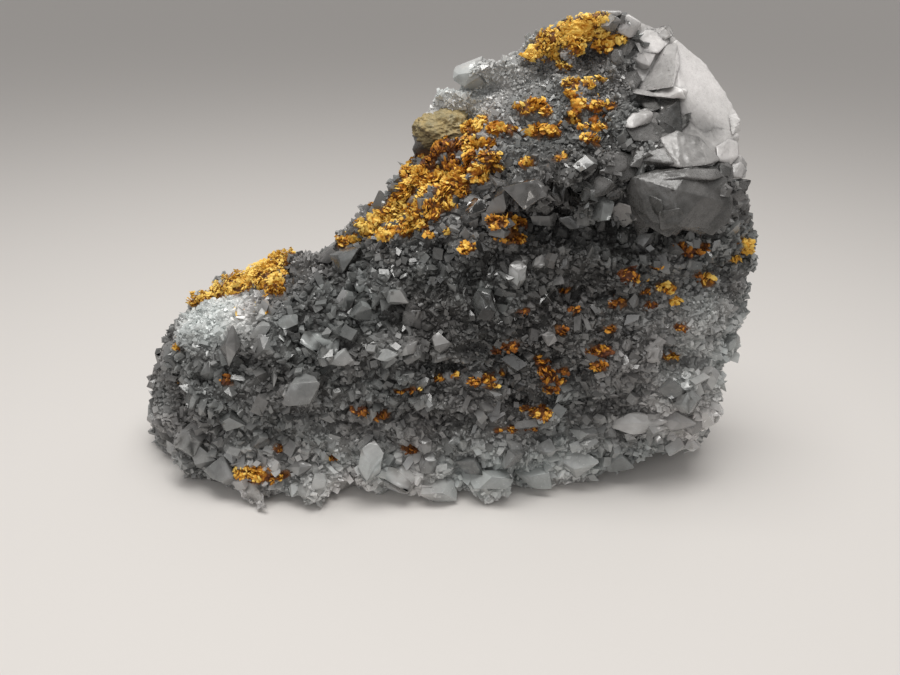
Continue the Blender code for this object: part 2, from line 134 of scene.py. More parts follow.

# Lighter and darker places of the grey rock: (across, down the picture, reach in mm, how much lighter). Many of the
# darker ones are painted shade in recesses and under overhangs; the rest are the rock's own tone.
TONE_AND_SHADE_ZONES = [
    (198, 316, 17, 1.5), (226, 315, 18, 1.5), (250, 322, 11, 0.5), (262, 312, 12, 0.2), (475, 76, 34, 0.6),
    (440, 112, 14, 0.4), (488, 112, 6, 0.45), (540, 60, 24, 0.12), (690, 435, 26, 0.7), (735, 345, 26, 0.55),
    (705, 325, 24, 0.42), (680, 395, 26, 0.46), (712, 405, 26, 0.42), (170, 440, 22, 0.24),
    (160, 400, 18, 0.14), (245, 484, 24, 0.55), (330, 482, 24, 0.75), (400, 480, 24, 0.85),
    (480, 482, 26, 0.85), (560, 472, 24, 0.75), (345, 268, 24, -0.12), (560, 240, 34, -0.1),
    (640, 245, 28, -0.06), (500, 235, 16, -0.08), (420, 290, 30, -0.08), (560, 300, 38, -0.12),
    (430, 395, 34, -0.05), (330, 330, 30, -0.03), (470, 330, 34, -0.07), (550, 196, 24, -0.1),
    (600, 190, 20, -0.09), (620, 440, 30, 0.14), (300, 440, 30, 0.03), (745, 200, 16, 0.12),
    (428, 150, 9, -0.2), (640, 110, 12, -0.1), (590, 150, 12, -0.06), (210, 350, 20, -0.06),
    (540, 340, 24, -0.06), (625, 268, 14, -0.12), (575, 298, 12, -0.08), (600, 318, 14, 0.08),
    (665, 335, 18, 0.12), (250, 375, 24, -0.04),
]
# Hollows and swellings of the rock: (across, down, reach in mm, mm outwards).
RELIEF_ZONES = [
    (745, 335, 14, -3.0), (736, 380, 16, -5.0), (730, 412, 16, -5.0), (722, 434, 12, -3.0), (424, 148, 9, -3.0),
    (560, 216, 12, -3.5), (530, 222, 10, -3.0), (598, 222, 10, -3.0), (548, 196, 10, -2.0),
    (620, 330, 12, -2.5), (480, 328, 14, -2.5), (545, 300, 12, -2.5), (430, 395, 14, -2.5),
    (315, 300, 12, -2.0), (260, 362, 12, -2.0), (225, 395, 12, -2.0), (545, 70, 7, -3.5), (668, 110, 8, -4.0),
    (625, 262, 8, -4.0), (645, 268, 7, -3.5), (600, 275, 8, -3.5), (575, 296, 8, -3.0), (540, 318, 9, -2.5),
    (505, 330, 8, -2.5), (460, 398, 9, -3.0), (395, 402, 9, -3.0), (350, 395, 9, -2.0), (300, 330, 8, -2.5),
    (375, 330, 9, -2.5), (430, 362, 8, -2.0), (240, 405, 9, -2.5), (590, 420, 9, -2.0), (700, 365, 9, -3.0),
    (290, 345, 10, 1.5), (500, 250, 10, 1.5), (610, 300, 9, 2.0), (560, 270, 9, 1.5), (330, 420, 12, 1.5),
    (660, 380, 12, 2.0), (700, 320, 12, 1.5), (400, 355, 12, 1.5),
]
# Places where grains are finer or coarser: (across, down, reach in mm, factor on the size).
SIZE_ZONES = [
    (480, 70, 46, 0.5), (600, 90, 40, 0.55), (210, 312, 20, 0.5), (320, 345, 36, 1.25), (400, 480, 50, 1.35),
    (250, 480, 36, 1.4), (560, 460, 36, 1.25), (165, 440, 20, 1.4), (700, 300, 36, 0.75), (560, 300, 30, 0.85),
    (650, 400, 30, 1.2), (450, 320, 24, 0.8),
]
# Lighter and darker places of the white crystals, in the same way as the rock's.
WHITE_ZONES = [
    (702, 126, 11, -0.36), (688, 116, 8, -0.2), (716, 134, 9, -0.22), (700, 76, 16, 0.1), (655, 68, 7, -0.1),
    (680, 100, 5, -0.1),
]

# Seeds for the crystals that the picture shows, grey and white.
GREY_SEED, WHITE_SEED = 31, 81
# Which of the large shapes each kind of crystal may have.
KINDS = {"block": range(10), "nail": (10, 11), "tooth": (12, 13), "lens": (14, 15)}
# Larger crystals that the picture shows: (across, down, length px, width px, lean in degrees, kind, tone).
LARGE_CRYSTALS = [
    (302, 386, 34, 30, 20, "block", 0.28), (232, 345, 42, 18, 12, "tooth", 0.34),
    (322, 350, 30, 26, 20, "block", 0.46), (340, 360, 24, 16, 60, "block", 0.62),
    (276, 374, 24, 9, 178, "tooth", 0.5), (386, 355, 32, 14, 82, "lens", 0.62),
    (408, 350, 26, 14, 60, "tooth", 0.42), (395, 294, 22, 16, 70, "block", 0.55),
    (362, 312, 22, 18, 30, "block", 0.42), (516, 277, 26, 22, 4, "nail", 0.42),
    (484, 302, 38, 26, 165, "nail", 0.2), (550, 338, 18, 16, 185, "tooth", 0.45),
    (652, 352, 20, 18, 0, "nail", 0.72), (668, 388, 22, 20, 40, "block", 0.48),
    (636, 423, 60, 22, 84, "lens", 0.8), (676, 420, 36, 20, 95, "lens", 0.56),
    (370, 462, 40, 28, 8, "nail", 0.7), (160, 440, 46, 20, -4, "tooth", 0.6),
    (190, 441, 32, 28, 20, "nail", 0.56), (225, 470, 30, 26, 60, "block", 0.42),
    (300, 466, 26, 18, 80, "lens", 0.42), (345, 486, 34, 28, 85, "block", 0.7),
    (405, 478, 30, 26, 30, "block", 0.74), (440, 484, 34, 24, 80, "block", 0.74),
    (490, 482, 40, 26, 84, "block", 0.76), (535, 474, 34, 22, 80, "block", 0.7),
    (580, 462, 36, 22, 75, "block", 0.66), (615, 458, 26, 20, 60, "block", 0.5),
    (255, 492, 34, 22, 85, "block", 0.48), (300, 494, 34, 20, 88, "block", 0.48),
    (505, 200, 32, 24, 30, "block", 0.12), (530, 192, 36, 28, 60, "block", 0.12),
    (560, 190, 32, 30, 10, "nail", 0.14), (588, 196, 30, 26, 40, "block", 0.14),
    (585, 168, 24, 20, 60, "block", 0.16), (600, 206, 24, 20, 10, "block", 0.14),
    (545, 214, 28, 18, 85, "block", 0.1), (575, 222, 26, 16, 80, "block", 0.1),
    (480, 206, 22, 18, 40, "block", 0.14), (470, 222, 22, 16, 60, "block", 0.14),
    (600, 222, 24, 18, 20, "nail", 0.14), (622, 236, 20, 14, 0, "nail", 0.22),
    (645, 244, 18, 14, 20, "block", 0.18), (350, 262, 34, 20, 80, "block", 0.12),
    (330, 258, 22, 16, 60, "block", 0.28), (365, 290, 30, 18, 60, "block", 0.3),
    (345, 300, 24, 16, 30, "block", 0.3), (520, 262, 18, 14, 20, "block", 0.34),
    (540, 262, 16, 14, 60, "nail", 0.34), (415, 320, 22, 16, 20, "block", 0.36),
    (440, 345, 18, 16, 60, "block", 0.36), (372, 412, 14, 12, 0, "block", 0.4),
    (425, 445, 20, 18, 0, "nail", 0.5), (460, 440, 20, 16, 50, "block", 0.42),
    (430, 462, 26, 20, 30, "nail", 0.48), (470, 462, 24, 20, 70, "block", 0.48),
    (510, 455, 22, 18, 20, "block", 0.44), (545, 448, 20, 16, 60, "block", 0.42),
    (686, 398, 26, 24, 20, "nail", 0.56), (694, 424, 22, 20, 60, "nail", 0.54),
    (706, 378, 22, 20, 10, "nail", 0.54), (728, 342, 18, 16, 40, "nail", 0.5),
    (625, 345, 14, 12, 20, "nail", 0.5), (668, 340, 14, 12, 60, "block", 0.44),
    (610, 395, 18, 12, 80, "lens", 0.4), (575, 400, 20, 12, 85, "lens", 0.42),
    (585, 432, 22, 14, 70, "block", 0.44), (262, 330, 20, 14, 40, "block", 0.46),
    (290, 320, 20, 14, 70, "block", 0.44), (210, 370, 22, 16, 10, "tooth", 0.36),
    (196, 400, 20, 14, 30, "block", 0.34), (230, 420, 22, 18, 60, "block", 0.36),
    (262, 440, 20, 16, 30, "block", 0.38), (205, 455, 24, 20, 60, "block", 0.44),
]

# The white cluster's main crystals: how light each is, and its corners in mm, in the measured frame.
WHITE_CRYSTALS = [
    (0.8, [(133, 34, 264), (112, 18, 238), (118, 6, 236), (129, -2, 238), (132, -6, 219), (148, -10, 212),
        (166, 4, 217), (171, 14, 223), (163, 26, 237), (153, 34, 250), (140, 42, 222), (120, 38, 232)]),
    (0.62, [(113, 4, 237), (124, 1, 243), (132, -5, 241), (131, -5, 235), (122, 16, 230), (132, 12, 240)]),
    (0.3, [(97, -5, 222), (109, -8, 232), (118, -6, 229), (117, -9, 222), (106, -11, 220), (114, 10, 222)]),
    (0.4, [(118, -19, 217), (128, -15, 221), (139, -15, 218), (150, -19, 208), (144, -26, 205),
        (125, -30, 204), (120, -27, 208), (130, 4, 204), (142, 6, 212)]),
    (0.1, [(98, -24, 191), (112, -22, 203), (126, -29, 205), (145, -26, 206), (149, -31, 200),
        (155, -34, 190), (155, -36, 178), (146, -38, 171), (130, -42, 178), (117, -41, 187), (104, -34, 189),
        (122, -2, 190), (147, -2, 188)]),
    (0.07, [(100, -27, 189), (117, -40, 187), (128, -43, 181), (121, -43, 171), (112, -39, 175),
        (105, -32, 180), (116, -8, 184)]),
    (0.1, [(84, -22, 207), (93, -24, 213), (107, -18, 208), (107, -26, 200), (95, -31, 198), (98, -2, 205)]),
    (0.16, [(144, -22, 204), (152, -16, 208), (159, -18, 203), (157, -25, 197), (149, -29, 198),
        (148, -2, 201)]),
    (0.42, [(157, -10, 206), (166, -8, 208), (172, -4, 202), (169, -13, 196), (160, -16, 196),
        (156, 8, 199)]),
    (0.42, [(97, 37, 277), (113, 34, 271), (134, 36, 264), (138, 20, 244), (116, 12, 238), (103, 20, 250),
        (93, 27, 262), (132, 42, 236), (104, 43, 258)]),
    (0.62, [(118, -4, 233), (131, -7, 221), (150, -12, 213), (167, 2, 217), (168, 3, 204), (150, -16, 205),
        (130, -14, 214), (118, -2, 220), (132, 26, 212), (160, 24, 212)]),
    (0.5, [(126, 32, 228), (140, 33, 224), (147, 34, 237), (136, 34, 246), (125, 34, 238), (134, 45, 230),
        (141, 45, 238), (130, 45, 237)]),
    (0.42, [(110, 34, 240), (123, 34, 235), (126, 34, 248), (115, 36, 254), (117, 46, 246), (122, 45, 241)]),
    (0.24, [(118, 32, 216), (132, 34, 214), (136, 34, 224), (124, 34, 228), (122, 44, 221), (129, 44, 219)]),
]
# Crystals whose facets the picture shows: how light, how deep rooted in mm, and corners as
# (across, down, mm that they stand out towards the camera).
PICTURE_CRYSTALS = [
    (0.46, 10, [(677, 42, 3), (664, 46, 1), (636, 86, 1), (640, 92, 2), (673, 87, 7), (680, 64, 7)]),
    (0.84, 6, [(650, 96, 2), (658, 89, 5), (670, 84, 6), (682, 90, 6), (686, 99, 5), (668, 98, 6)]),
    (0.34, 6, [(620, 91, 0), (636, 88, 3), (654, 92, 5), (656, 97, 5), (636, 95, 4)]),
    (0.12, 8, [(660, 99, 0), (680, 99, 3), (682, 132, 3), (668, 138, 1), (656, 118, 0)]),
    (0.5, 8, [(621, 127, 0), (632, 113, 4), (646, 108, 6), (653, 113, 5), (650, 123, 4), (634, 128, 5)]),
    (0.16, 8, [(624, 126, 0), (652, 122, 2), (666, 130, 1), (660, 143, 3), (634, 141, 4)]),
    (0.19, 8, [(630, 146, 0), (650, 132, 3), (668, 133, 3), (676, 164, 4), (652, 168, 4), (632, 160, 2)]),
    (0.3, 8, [(660, 138, 3), (676, 131, 5), (699, 137, 6), (720, 160, 5), (708, 165, 5), (680, 168, 6),
        (664, 165, 5)]),
    (0.16, 8, [(602, 164, 1), (608, 153, 3), (618, 150, 4), (628, 158, 4), (627, 170, 4), (614, 176, 4),
        (604, 173, 2)]),
    (0.14, 8, [(628, 150, 1), (638, 146, 3), (644, 156, 4), (640, 168, 4), (630, 166, 3)]),
    (0.34, 8, [(611, 209, 1), (619, 202, 5), (631, 206, 4), (633, 221, 3), (624, 228, 4), (615, 221, 4)]),
    (0.14, 8, [(632, 214, 1), (642, 208, 3), (652, 216, 3), (648, 232, 3), (637, 236, 2)]),
    (0.13, 10, [(624, 192, 0), (632, 177, 3), (656, 170, 5), (690, 167, 6), (716, 168, 5), (727, 178, 3),
        (732, 206, 0), (722, 228, 1), (702, 235, 3), (678, 226, 6), (652, 222, 4), (632, 206, 2), (676, 190, 9),
        (704, 196, 8)]),
    (0.24, 8, [(634, 181, 3), (650, 172, 6), (688, 168, 7), (716, 169, 6), (725, 177, 4), (712, 180, 7),
        (684, 177, 9), (654, 182, 7)]),
    (0.1, 8, [(628, 198, 1), (642, 192, 4), (662, 200, 7), (664, 218, 6), (648, 226, 4), (634, 216, 2)]),
    (0.12, 8, [(658, 212, 6), (680, 208, 8), (690, 222, 6), (676, 236, 3), (660, 230, 4)]),
    (0.6, 5, [(716, 146, 2), (728, 138, 4), (738, 142, 2), (739, 156, 2), (731, 165, 3), (718, 161, 3)]),
    (0.66, 5, [(729, 116, 0), (736, 113, 2), (740, 120, 1), (740, 131, 1), (732, 135, 3)]),
    (0.14, 8, [(719, 164, 2), (728, 161, 4), (732, 168, 4), (729, 177, 3), (721, 176, 3)]),
    (0.38, 8, [(731, 164, 1), (741, 162, 3), (746, 169, 3), (742, 178, 3), (733, 177, 3)]),
    (0.42, 8, [(600, 10, 0), (606, 3, 1), (618, 5, 2), (622, 14, 2), (612, 18, 2)]),
    (0.56, 8, [(616, 24, 0), (628, 14, 2), (641, 22, 3), (642, 34, 5), (630, 38, 4), (618, 33, 2)]),
    (0.64, 8, [(634, 42, 1), (645, 29, 2), (660, 31, 3), (670, 42, 3), (658, 53, 6), (640, 54, 4)]),
    (0.56, 8, [(630, 58, 0), (642, 49, 3), (656, 54, 5), (650, 67, 6), (634, 76, 3)]),
    (0.2, 6, [(624, 74, 0), (636, 70, 2), (642, 80, 3), (634, 93, 3), (625, 88, 1)]),
    (0.12, 6, [(634, 94, 0), (654, 98, 2), (662, 108, 2), (650, 112, 1), (638, 104, 1)]),
]
# Smaller crystals of the white cluster, in the same way as the larger grey ones.
WHITE_SHARDS = [
    (672, 218, 12, 9, 20, "tooth", 0.4), (600, 186, 22, 18, 40, "block", 0.14),
    (612, 192, 20, 14, 70, "nail", 0.16), (740, 186, 14, 12, 20, "block", 0.24),
    (735, 198, 14, 12, 60, "block", 0.22), (742, 208, 14, 12, 10, "nail", 0.24),
    (724, 190, 12, 10, 20, "block", 0.2), (662, 36, 20, 14, 70, "block", 0.55),
    (610, 24, 14, 12, 30, "block", 0.32), (626, 46, 18, 12, 20, "block", 0.36),
    (654, 82, 12, 8, 40, "block", 0.36), (684, 122, 14, 8, 10, "block", 0.3),
    (640, 100, 16, 10, 60, "block", 0.16), (646, 160, 14, 10, 40, "block", 0.22),
    (656, 148, 12, 9, 70, "nail", 0.24), (618, 60, 14, 10, 30, "block", 0.24),
    (742, 222, 12, 10, 30, "block", 0.24), (733, 214, 12, 10, 70, "block", 0.2),
]

# Realgar seen on the rock: (across, down, reach in px, depth of colour: 0 bright yellow to 1 dark red-brown).
REALGAR_CRUSTS = [
    (600, 25, 12, 0.02), (585, 30, 14, 0), (566, 33, 14, 0), (548, 43, 13, 0), (532, 54, 10, 0.02),
    (618, 38, 7, 0.15), (605, 45, 9, 0.35), (575, 45, 10, 0.3), (562, 66, 7, 0.15), (555, 56, 6, 0.2),
    (572, 84, 7, 0.1), (590, 84, 6, 0.1), (601, 80, 4, 0.2), (568, 95, 6, 0.3), (580, 104, 7, 0.25),
    (597, 107, 7, 0.35), (609, 106, 5, 0.3), (574, 113, 5, 0.4), (573, 121, 6, 0.2), (583, 127, 5, 0.25),
    (600, 128, 6, 0.25), (588, 138, 7, 0.35), (597, 142, 6, 0.4), (525, 108, 8, 0.2), (538, 104, 7, 0.35),
    (545, 112, 5, 0.3), (530, 133, 6, 0.25), (541, 130, 8, 0.45), (552, 132, 7, 0.45), (540, 139, 6, 0.4),
    (560, 158, 5, 0.4), (527, 163, 7, 0.3), (480, 122, 8, 0.15), (470, 128, 9, 0.25), (495, 128, 8, 0.35),
    (510, 130, 6, 0.45), (440, 150, 9, 0.85), (452, 146, 8, 0.75), (446, 140, 5, 0.6), (470, 145, 11, 0.3),
    (487, 146, 10, 0.4), (490, 158, 9, 0.4), (470, 160, 12, 0.55), (450, 163, 10, 0.75), (430, 162, 10, 0.85),
    (495, 168, 7, 0.3), (480, 174, 11, 0.25), (460, 178, 14, 0.4), (440, 180, 14, 0.35), (420, 177, 13, 0.25),
    (407, 172, 9, 0.35), (425, 195, 14, 0.2), (445, 194, 12, 0.4), (462, 192, 8, 0.5), (409, 190, 13, 0.2),
    (400, 202, 13, 0.2), (415, 212, 13, 0.25), (432, 210, 11, 0.45), (448, 205, 7, 0.3), (394, 216, 14, 0.15),
    (378, 220, 11, 0.15), (368, 208, 8, 0.25), (405, 228, 10, 0.3), (386, 232, 11, 0.2), (371, 232, 10, 0.15),
    (357, 238, 8, 0.2), (342, 242, 7, 0.25), (331, 244, 5, 0.3), (420, 224, 9, 0.3), (430, 234, 5, 0.45),
    (364, 225, 8, 0.2), (495, 222, 9, 0.6), (508, 224, 12, 0.62), (520, 222, 8, 0.7), (500, 235, 8, 0.6),
    (515, 238, 9, 0.66), (467, 248, 7, 0.4), (493, 246, 4, 0.5), (447, 230, 5, 0.25), (224, 290, 11, 0.04),
    (236, 283, 13, 0.04), (250, 276, 14, 0.04), (264, 269, 14, 0.05), (279, 261, 13, 0.06), (228, 289, 9, 0.05),
    (240, 281, 11, 0.05), (255, 273, 13, 0.05), (270, 266, 13, 0.08), (285, 259, 11, 0.08), (300, 252, 7, 0.15),
    (260, 284, 11, 0.12), (274, 282, 10, 0.18), (277, 290, 7, 0.25), (246, 288, 6, 0.15), (218, 294, 8, 0.06),
    (194, 303, 5, 0.15), (202, 299, 6, 0.1), (210, 296, 7, 0.06),
]
REALGAR_FLECKS = [
    (175, 347, 5, 0.3), (182, 380, 4, 0.74), (228, 380, 6, 0.94), (358, 411, 7, 0.74), (368, 411, 7, 0.74),
    (381, 415, 7, 0.84), (400, 392, 5, 0.94), (410, 391, 5, 0.84), (419, 390, 3, 0.3), (440, 378, 5, 0.64),
    (456, 375, 4, 0.64), (476, 382, 6, 0.64), (486, 380, 7, 0.59), (491, 384, 6, 0.3), (500, 372, 4, 0.64),
    (541, 360, 6, 0.74), (545, 370, 6, 0.79), (549, 378, 7, 0.74), (552, 390, 8, 0.69), (563, 372, 6, 0.84),
    (560, 380, 5, 0.74), (600, 352, 8, 0.74), (597, 365, 8, 0.69), (608, 352, 5, 0.79), (587, 350, 4, 0.84),
    (671, 356, 7, 0.3), (540, 412, 8, 0.59), (546, 415, 7, 0.59), (525, 408, 4, 0.69), (500, 430, 4, 0.64),
    (513, 429, 4, 0.64), (531, 428, 5, 0.74), (624, 274, 6, 0.84), (634, 278, 7, 0.69), (645, 291, 5, 0.64),
    (658, 266, 5, 0.64), (666, 288, 7, 0.3), (675, 300, 5, 0.3), (618, 303, 7, 0.84), (690, 250, 8, 0.89),
    (700, 247, 7, 0.84), (680, 246, 7, 0.94), (705, 280, 8, 0.25), (742, 243, 7, 0.15), (746, 249, 5, 0.15),
    (735, 258, 5, 0.2), (575, 310, 6, 0.79), (580, 305, 4, 0.74), (565, 290, 6, 0.95), (681, 327, 5, 0.84),
    (510, 345, 7, 0.95), (525, 312, 6, 0.95), (245, 472, 8, 0.3), (258, 475, 9, 0.3), (283, 475, 6, 0.59),
    (270, 478, 6, 0.59), (280, 448, 5, 0.79), (332, 458, 5, 0.74), (410, 448, 7, 0.94), (495, 350, 5, 0.95),
    (610, 330, 5, 0.9), (650, 305, 5, 0.84), (560, 330, 6, 0.95), (540, 300, 5, 0.95), (700, 275, 4, 0.64),
]
# The last patches of the crusts lie on a crest, and go on behind it, this many mm further in x, y and z.
CREST = 14
BEHIND = (0, 9, 1)
# Realgar on the sides that the picture doesn't show: (x, y, z, reach in mm, depth of colour).
HIDDEN_REALGAR = [
    (60, 44, 250, 9, 0.3), (52, 46, 242, 6, 0.4), (68, 46, 256, 5, 0.3), (30, 46, 232, 7, 0.4),
    (22, 46, 226, 5, 0.5), (-8, 46, 196, 10, 0.3), (-16, 46, 187, 8, 0.4), (-3, 48, 186, 5, 0.5),
    (-30, 44, 170, 9, 0.35), (-38, 46, 162, 6, 0.4), (-60, 46, 136, 7, 0.3), (-52, 46, 142, 5, 0.4),
    (-118, 46, 112, 12, 0.2), (-130, 40, 100, 6, 0.4), (-108, 48, 108, 7, 0.3), (70, 48, 150, 6, 0.6),
    (78, 48, 147, 5, 0.6), (88, 48, 143, 4, 0.7), (60, 48, 154, 4, 0.7), (20, 50, 120, 5, 0.5),
    (28, 50, 117, 4, 0.6), (37, 50, 115, 3, 0.6), (110, 46, 90, 5, 0.6), (104, 46, 93, 4, 0.7),
    (-60, 50, 70, 5, 0.6), (-68, 50, 67, 4, 0.6), (150, 40, 150, 5, 0.5), (156, 38, 156, 4, 0.6),
    (10, 50, 165, 4, 0.7), (95, 48, 200, 4, 0.6),
]


def camera_turn():
    turns = (("Z", CAMERA_YAW), ("X", CAMERA_TILT), ("Z", CAMERA_ROLL))
    matrix = Matrix.Identity(3)
    for axis, degrees in turns:
        matrix = matrix @ Matrix.Rotation(math.radians(degrees), 3, axis)
    return matrix


def add_camera():
    camera = bpy.data.cameras.new("camera")
    camera.lens = CAMERA_LENS
    camera.sensor_width = SENSOR
    camera.clip_end = 60
    obj = bpy.data.objects.new("camera", camera)
    obj.matrix_world = Matrix.Translation(Vector(CAMERA_PLACE) * MM) @ camera_turn().to_4x4()
    bpy.context.scene.collection.objects.link(obj)
    bpy.context.scene.camera = obj


def sight(across, down):
    """Where the line of sight through a place in the picture starts, and its direction."""
    line = Vector(((across - PICTURE[0] / 2) / FOCAL, (PICTURE[1] / 2 - down) / FOCAL, -1))
    return Vector(CAMERA_PLACE) * MM, (camera_turn() @ line).normalized()


def spots(tree, zones):
    """The places on the rock that a list of picture places falls on, with the list's other numbers."""
    found = []
    for across, down, *rest in zones:
        start, line = sight(across, down)
        point, normal, _, distance = tree.ray_cast(start, line)
        if point is not None:
            found.append((np.array(point), np.array(normal), distance, *rest))
    return found


def add_light(name, place, aim, size, watts, colour):
    lamp = bpy.data.lights.new(name, "AREA")
    lamp.shape = "RECTANGLE"
    lamp.size, lamp.size_y = size
    lamp.energy = watts
    lamp.color = colour
    obj = bpy.data.objects.new(name, lamp)
    obj.location = place
    obj.rotation_euler = (Vector(aim) - Vector(place)).to_track_quat("-Z", "Y").to_euler()
    bpy.context.scene.collection.objects.link(obj)


def add_lights():
    add_light("overhead", (-0.02, -0.10, 1.15), (0, 0.02, 0.1), (0.9, 0.5), 10.5, (1.0, 0.985, 0.96))
    add_light("front", (-0.5, -1.4, 0.9), (0, 0, 0.12), (1.0, 0.7), 2.6, (0.98, 0.99, 1.0))
    world = bpy.data.worlds.new("room")
    bpy.context.scene.world = world
    world.use_nodes = True
    ground = world.node_tree.nodes["Background"]
    ground.inputs["Color"].default_value = (0.86, 0.84, 0.825, 1)
    ground.inputs["Strength"].default_value = 0.47


# Meshes.


def add_piece(name, bm, material=None):
    """A new object made from a bmesh."""
    mesh = bpy.data.meshes.new(name)
    bmesh.ops.recalc_face_normals(bm, faces=bm.faces[:])
    bm.to_mesh(mesh)
    bm.free()
    obj = bpy.data.objects.new(name, mesh)
    bpy.context.scene.collection.objects.link(obj)
    if material:
        mesh.materials.append(material)
    return obj


def remesh(obj, cell):
    """Runs an object's shells together into one skin of even cells."""
    modifier = obj.modifiers.new("even_cells", "REMESH")
    modifier.mode = "VOXEL"
    modifier.voxel_size = cell * MM
    shown = obj.evaluated_get(bpy.context.evaluated_depsgraph_get())
    mesh = bpy.data.meshes.new_from_object(shown)
    obj.modifiers.clear()
    obj.data = mesh
    return obj


def copy_of_nodes(name, nodes):
    """The merged meshes of some CAD nodes, as one new object."""
    bm = bmesh.new()
    for node in nodes:
        bm.from_mesh(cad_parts[node].data)
    bmesh.ops.remove_doubles(bm, verts=bm.verts[:], dist=1e-6)
    return add_piece(name, bm)


def read(mesh, name="co"):
    """The places or normals of a mesh's points, a row each."""
    out = np.empty(len(mesh.vertices) * 3)
    mesh.vertices.foreach_get(name, out)
    return out.reshape(-1, 3)


def move(mesh, places):
    """Puts a mesh's points at new places, kept inside the CAD model's box."""
    mesh.vertices.foreach_set("co", np.clip(places, *CAD_BOX).ravel())
    mesh.update()


def store(mesh, name, values):
    mesh.attributes.new(name, "FLOAT", "POINT").data.foreach_set("value", np.asarray(values, dtype=np.float32))


def spread(mesh, values, rounds):
    """Values of a mesh's points, each averaged with its neighbours a number of times."""
    edges = np.empty(len(mesh.edges) * 2, dtype=np.int64)
    mesh.edges.foreach_get("vertices", edges)
    first, second = edges.reshape(-1, 2).T
    here, there = np.concatenate([first, second]), np.concatenate([second, first])
    count = np.maximum(np.bincount(here, minlength=len(values)), 1)
    out = values.copy()
    for _ in range(rounds):
        for column in range(out.shape[1]):
            out[:, column] = np.bincount(here, weights=out[there, column], minlength=len(values)) / count
    return out


def standing_out(mesh, rounds):
    """How far each point stands out from the smoothed surface, in mm; less than 0 in a hollow."""
    places = read(mesh)
    return np.einsum("ij,ij->i", places - spread(mesh, places, rounds), read(mesh, "normal")) / MM


def lumpy(points, size, shift=0.0):
    """Smooth noise from -1 to 1 whose lumps are about a size in mm."""
    offset = Vector((shift, shift, 0))
    return np.array([noise.noise(Vector(p) / (size * MM) + offset) for p in points])


def ridged(points, size, shift=0.0):
    """Noise from -1 to 1 with sharp ridges."""
    return 1 - 3 * np.abs(lumpy(points, size, shift))


def waves(points, shortest, longest, draw):
    """Quick chance waves, mostly from -1 to 1, with lengths in mm."""
    out = np.zeros(len(points))
    for _ in range(10):
        way = draw.normal(0, 1, 3)
        way *= math.tau / draw.uniform(shortest, longest) / MM / np.linalg.norm(way)
        out += np.sin(points @ way + draw.uniform(0, math.tau))
    return out / 3.2


def zone_sum(points, zones):
    """Sum over the zones of each one's strength, fading out from its centre."""
    out = np.zeros(len(points))
    for centre, _, _, reach, strength in zones:
        gap = np.linalg.norm(points - centre, axis=1) / (reach * MM)
        out += strength * np.exp(-gap * gap)
    return out


def in_patches(points, patches, wider=1.0):
    """How far inside a patch each point is, 1 at a centre, and that patch's depth of colour.

    The places held by larger crystals are patches too. Their depth is 0, and they are never streaks.
    """
    inside, depth = np.zeros(len(points)), np.zeros(len(points))
    for centre, reach, colour in patches:
        squeeze = STREAK if reach < STREAK_BELOW and colour > 0 else (1, 1, 1)
        share = 1 - np.linalg.norm((points - centre) * squeeze, axis=1) / (reach * wider)
        deeper = share > inside
        inside[deeper], depth[deeper] = share[deeper], colour
    return inside, depth


def sow(mesh, count, seed, crowding=None):
    """Chance points spread over a mesh, by how crowded each place is: a function that reads values there."""
    mesh.calc_loop_triangles()
    corners = np.empty(len(mesh.loop_triangles) * 3, dtype=np.int64)
    mesh.loop_triangles.foreach_get("vertices", corners)
    corners = corners.reshape(-1, 3)
    a, b, c = (read(mesh)[corners[:, side]] for side in range(3))
    area = np.linalg.norm(np.cross(b - a, c - a), axis=1)
    if crowding is not None:
        area *= crowding[corners].mean(axis=1)
    draw = np.random.default_rng(seed)
    pick = draw.choice(len(area), size=count, p=area / area.sum())
    u, v = draw.random((2, count))
    over = u + v > 1
    u[over], v[over] = 1 - u[over], 1 - v[over]
    shares = (1 - u - v, u, v)

    def at(values):
        return sum((values[corners[pick, side]].T * share).T for side, share in enumerate(shares))

    return at


# Shapes of single crystals and flakes, about 1 in half size.


def cut_planes(bm, planes):
    """Cuts a solid by planes, (direction, distance), and closes each cut with a flat face."""
    for direction, distance in planes:
        direction = Vector(direction).normalized()
        everything, place = bm.verts[:] + bm.edges[:] + bm.faces[:], direction * distance
        bmesh.ops.bisect_plane(bm, geom=everything, plane_co=place, plane_no=direction, clear_outer=True)
        rim = [e for e in bm.edges if e.is_boundary]
        if rim:
            bmesh.ops.contextual_create(bm, geom=rim)


def block_shape(seed, cuts=(3, 5), size=1.5):
    """A broken calcite block: a leaning cube with a few corners cut off."""
    draw = random.Random(seed)
    bm = bmesh.new()
    bmesh.ops.create_cube(bm, size=size)
    over, back, up = draw.uniform(0, 0.4), draw.uniform(-0.3, 0.3), draw.uniform(0, 0.3)
    lean = Matrix(((1, over, 0, 0), (0, 1, back, 0), (up, 0, 1, 0), (0, 0, 0, 1)))
    bmesh.ops.transform(bm, matrix=lean, verts=bm.verts[:])
    count = draw.randint(*cuts)
    cut_planes(bm, [([draw.gauss(0, 1) for _ in range(3)], draw.uniform(0.6, 0.85)) for _ in range(count)])
    return bm


def nail_shape(steep):
    """A nailhead crystal: a six-sided prism with three faces at each end."""
    bm = bmesh.new()
    bmesh.ops.create_cone(bm, cap_ends=True, segments=6, radius1=0.8, radius2=0.8, depth=2)
    planes = []
    for end in (1, -1):
        for step in range(3):
            angle = math.tau * (step + 0.25 * end) / 3
            planes.append(((math.cos(angle), math.sin(angle), steep * end), 0.74))
    cut_planes(bm, planes)
    return bm


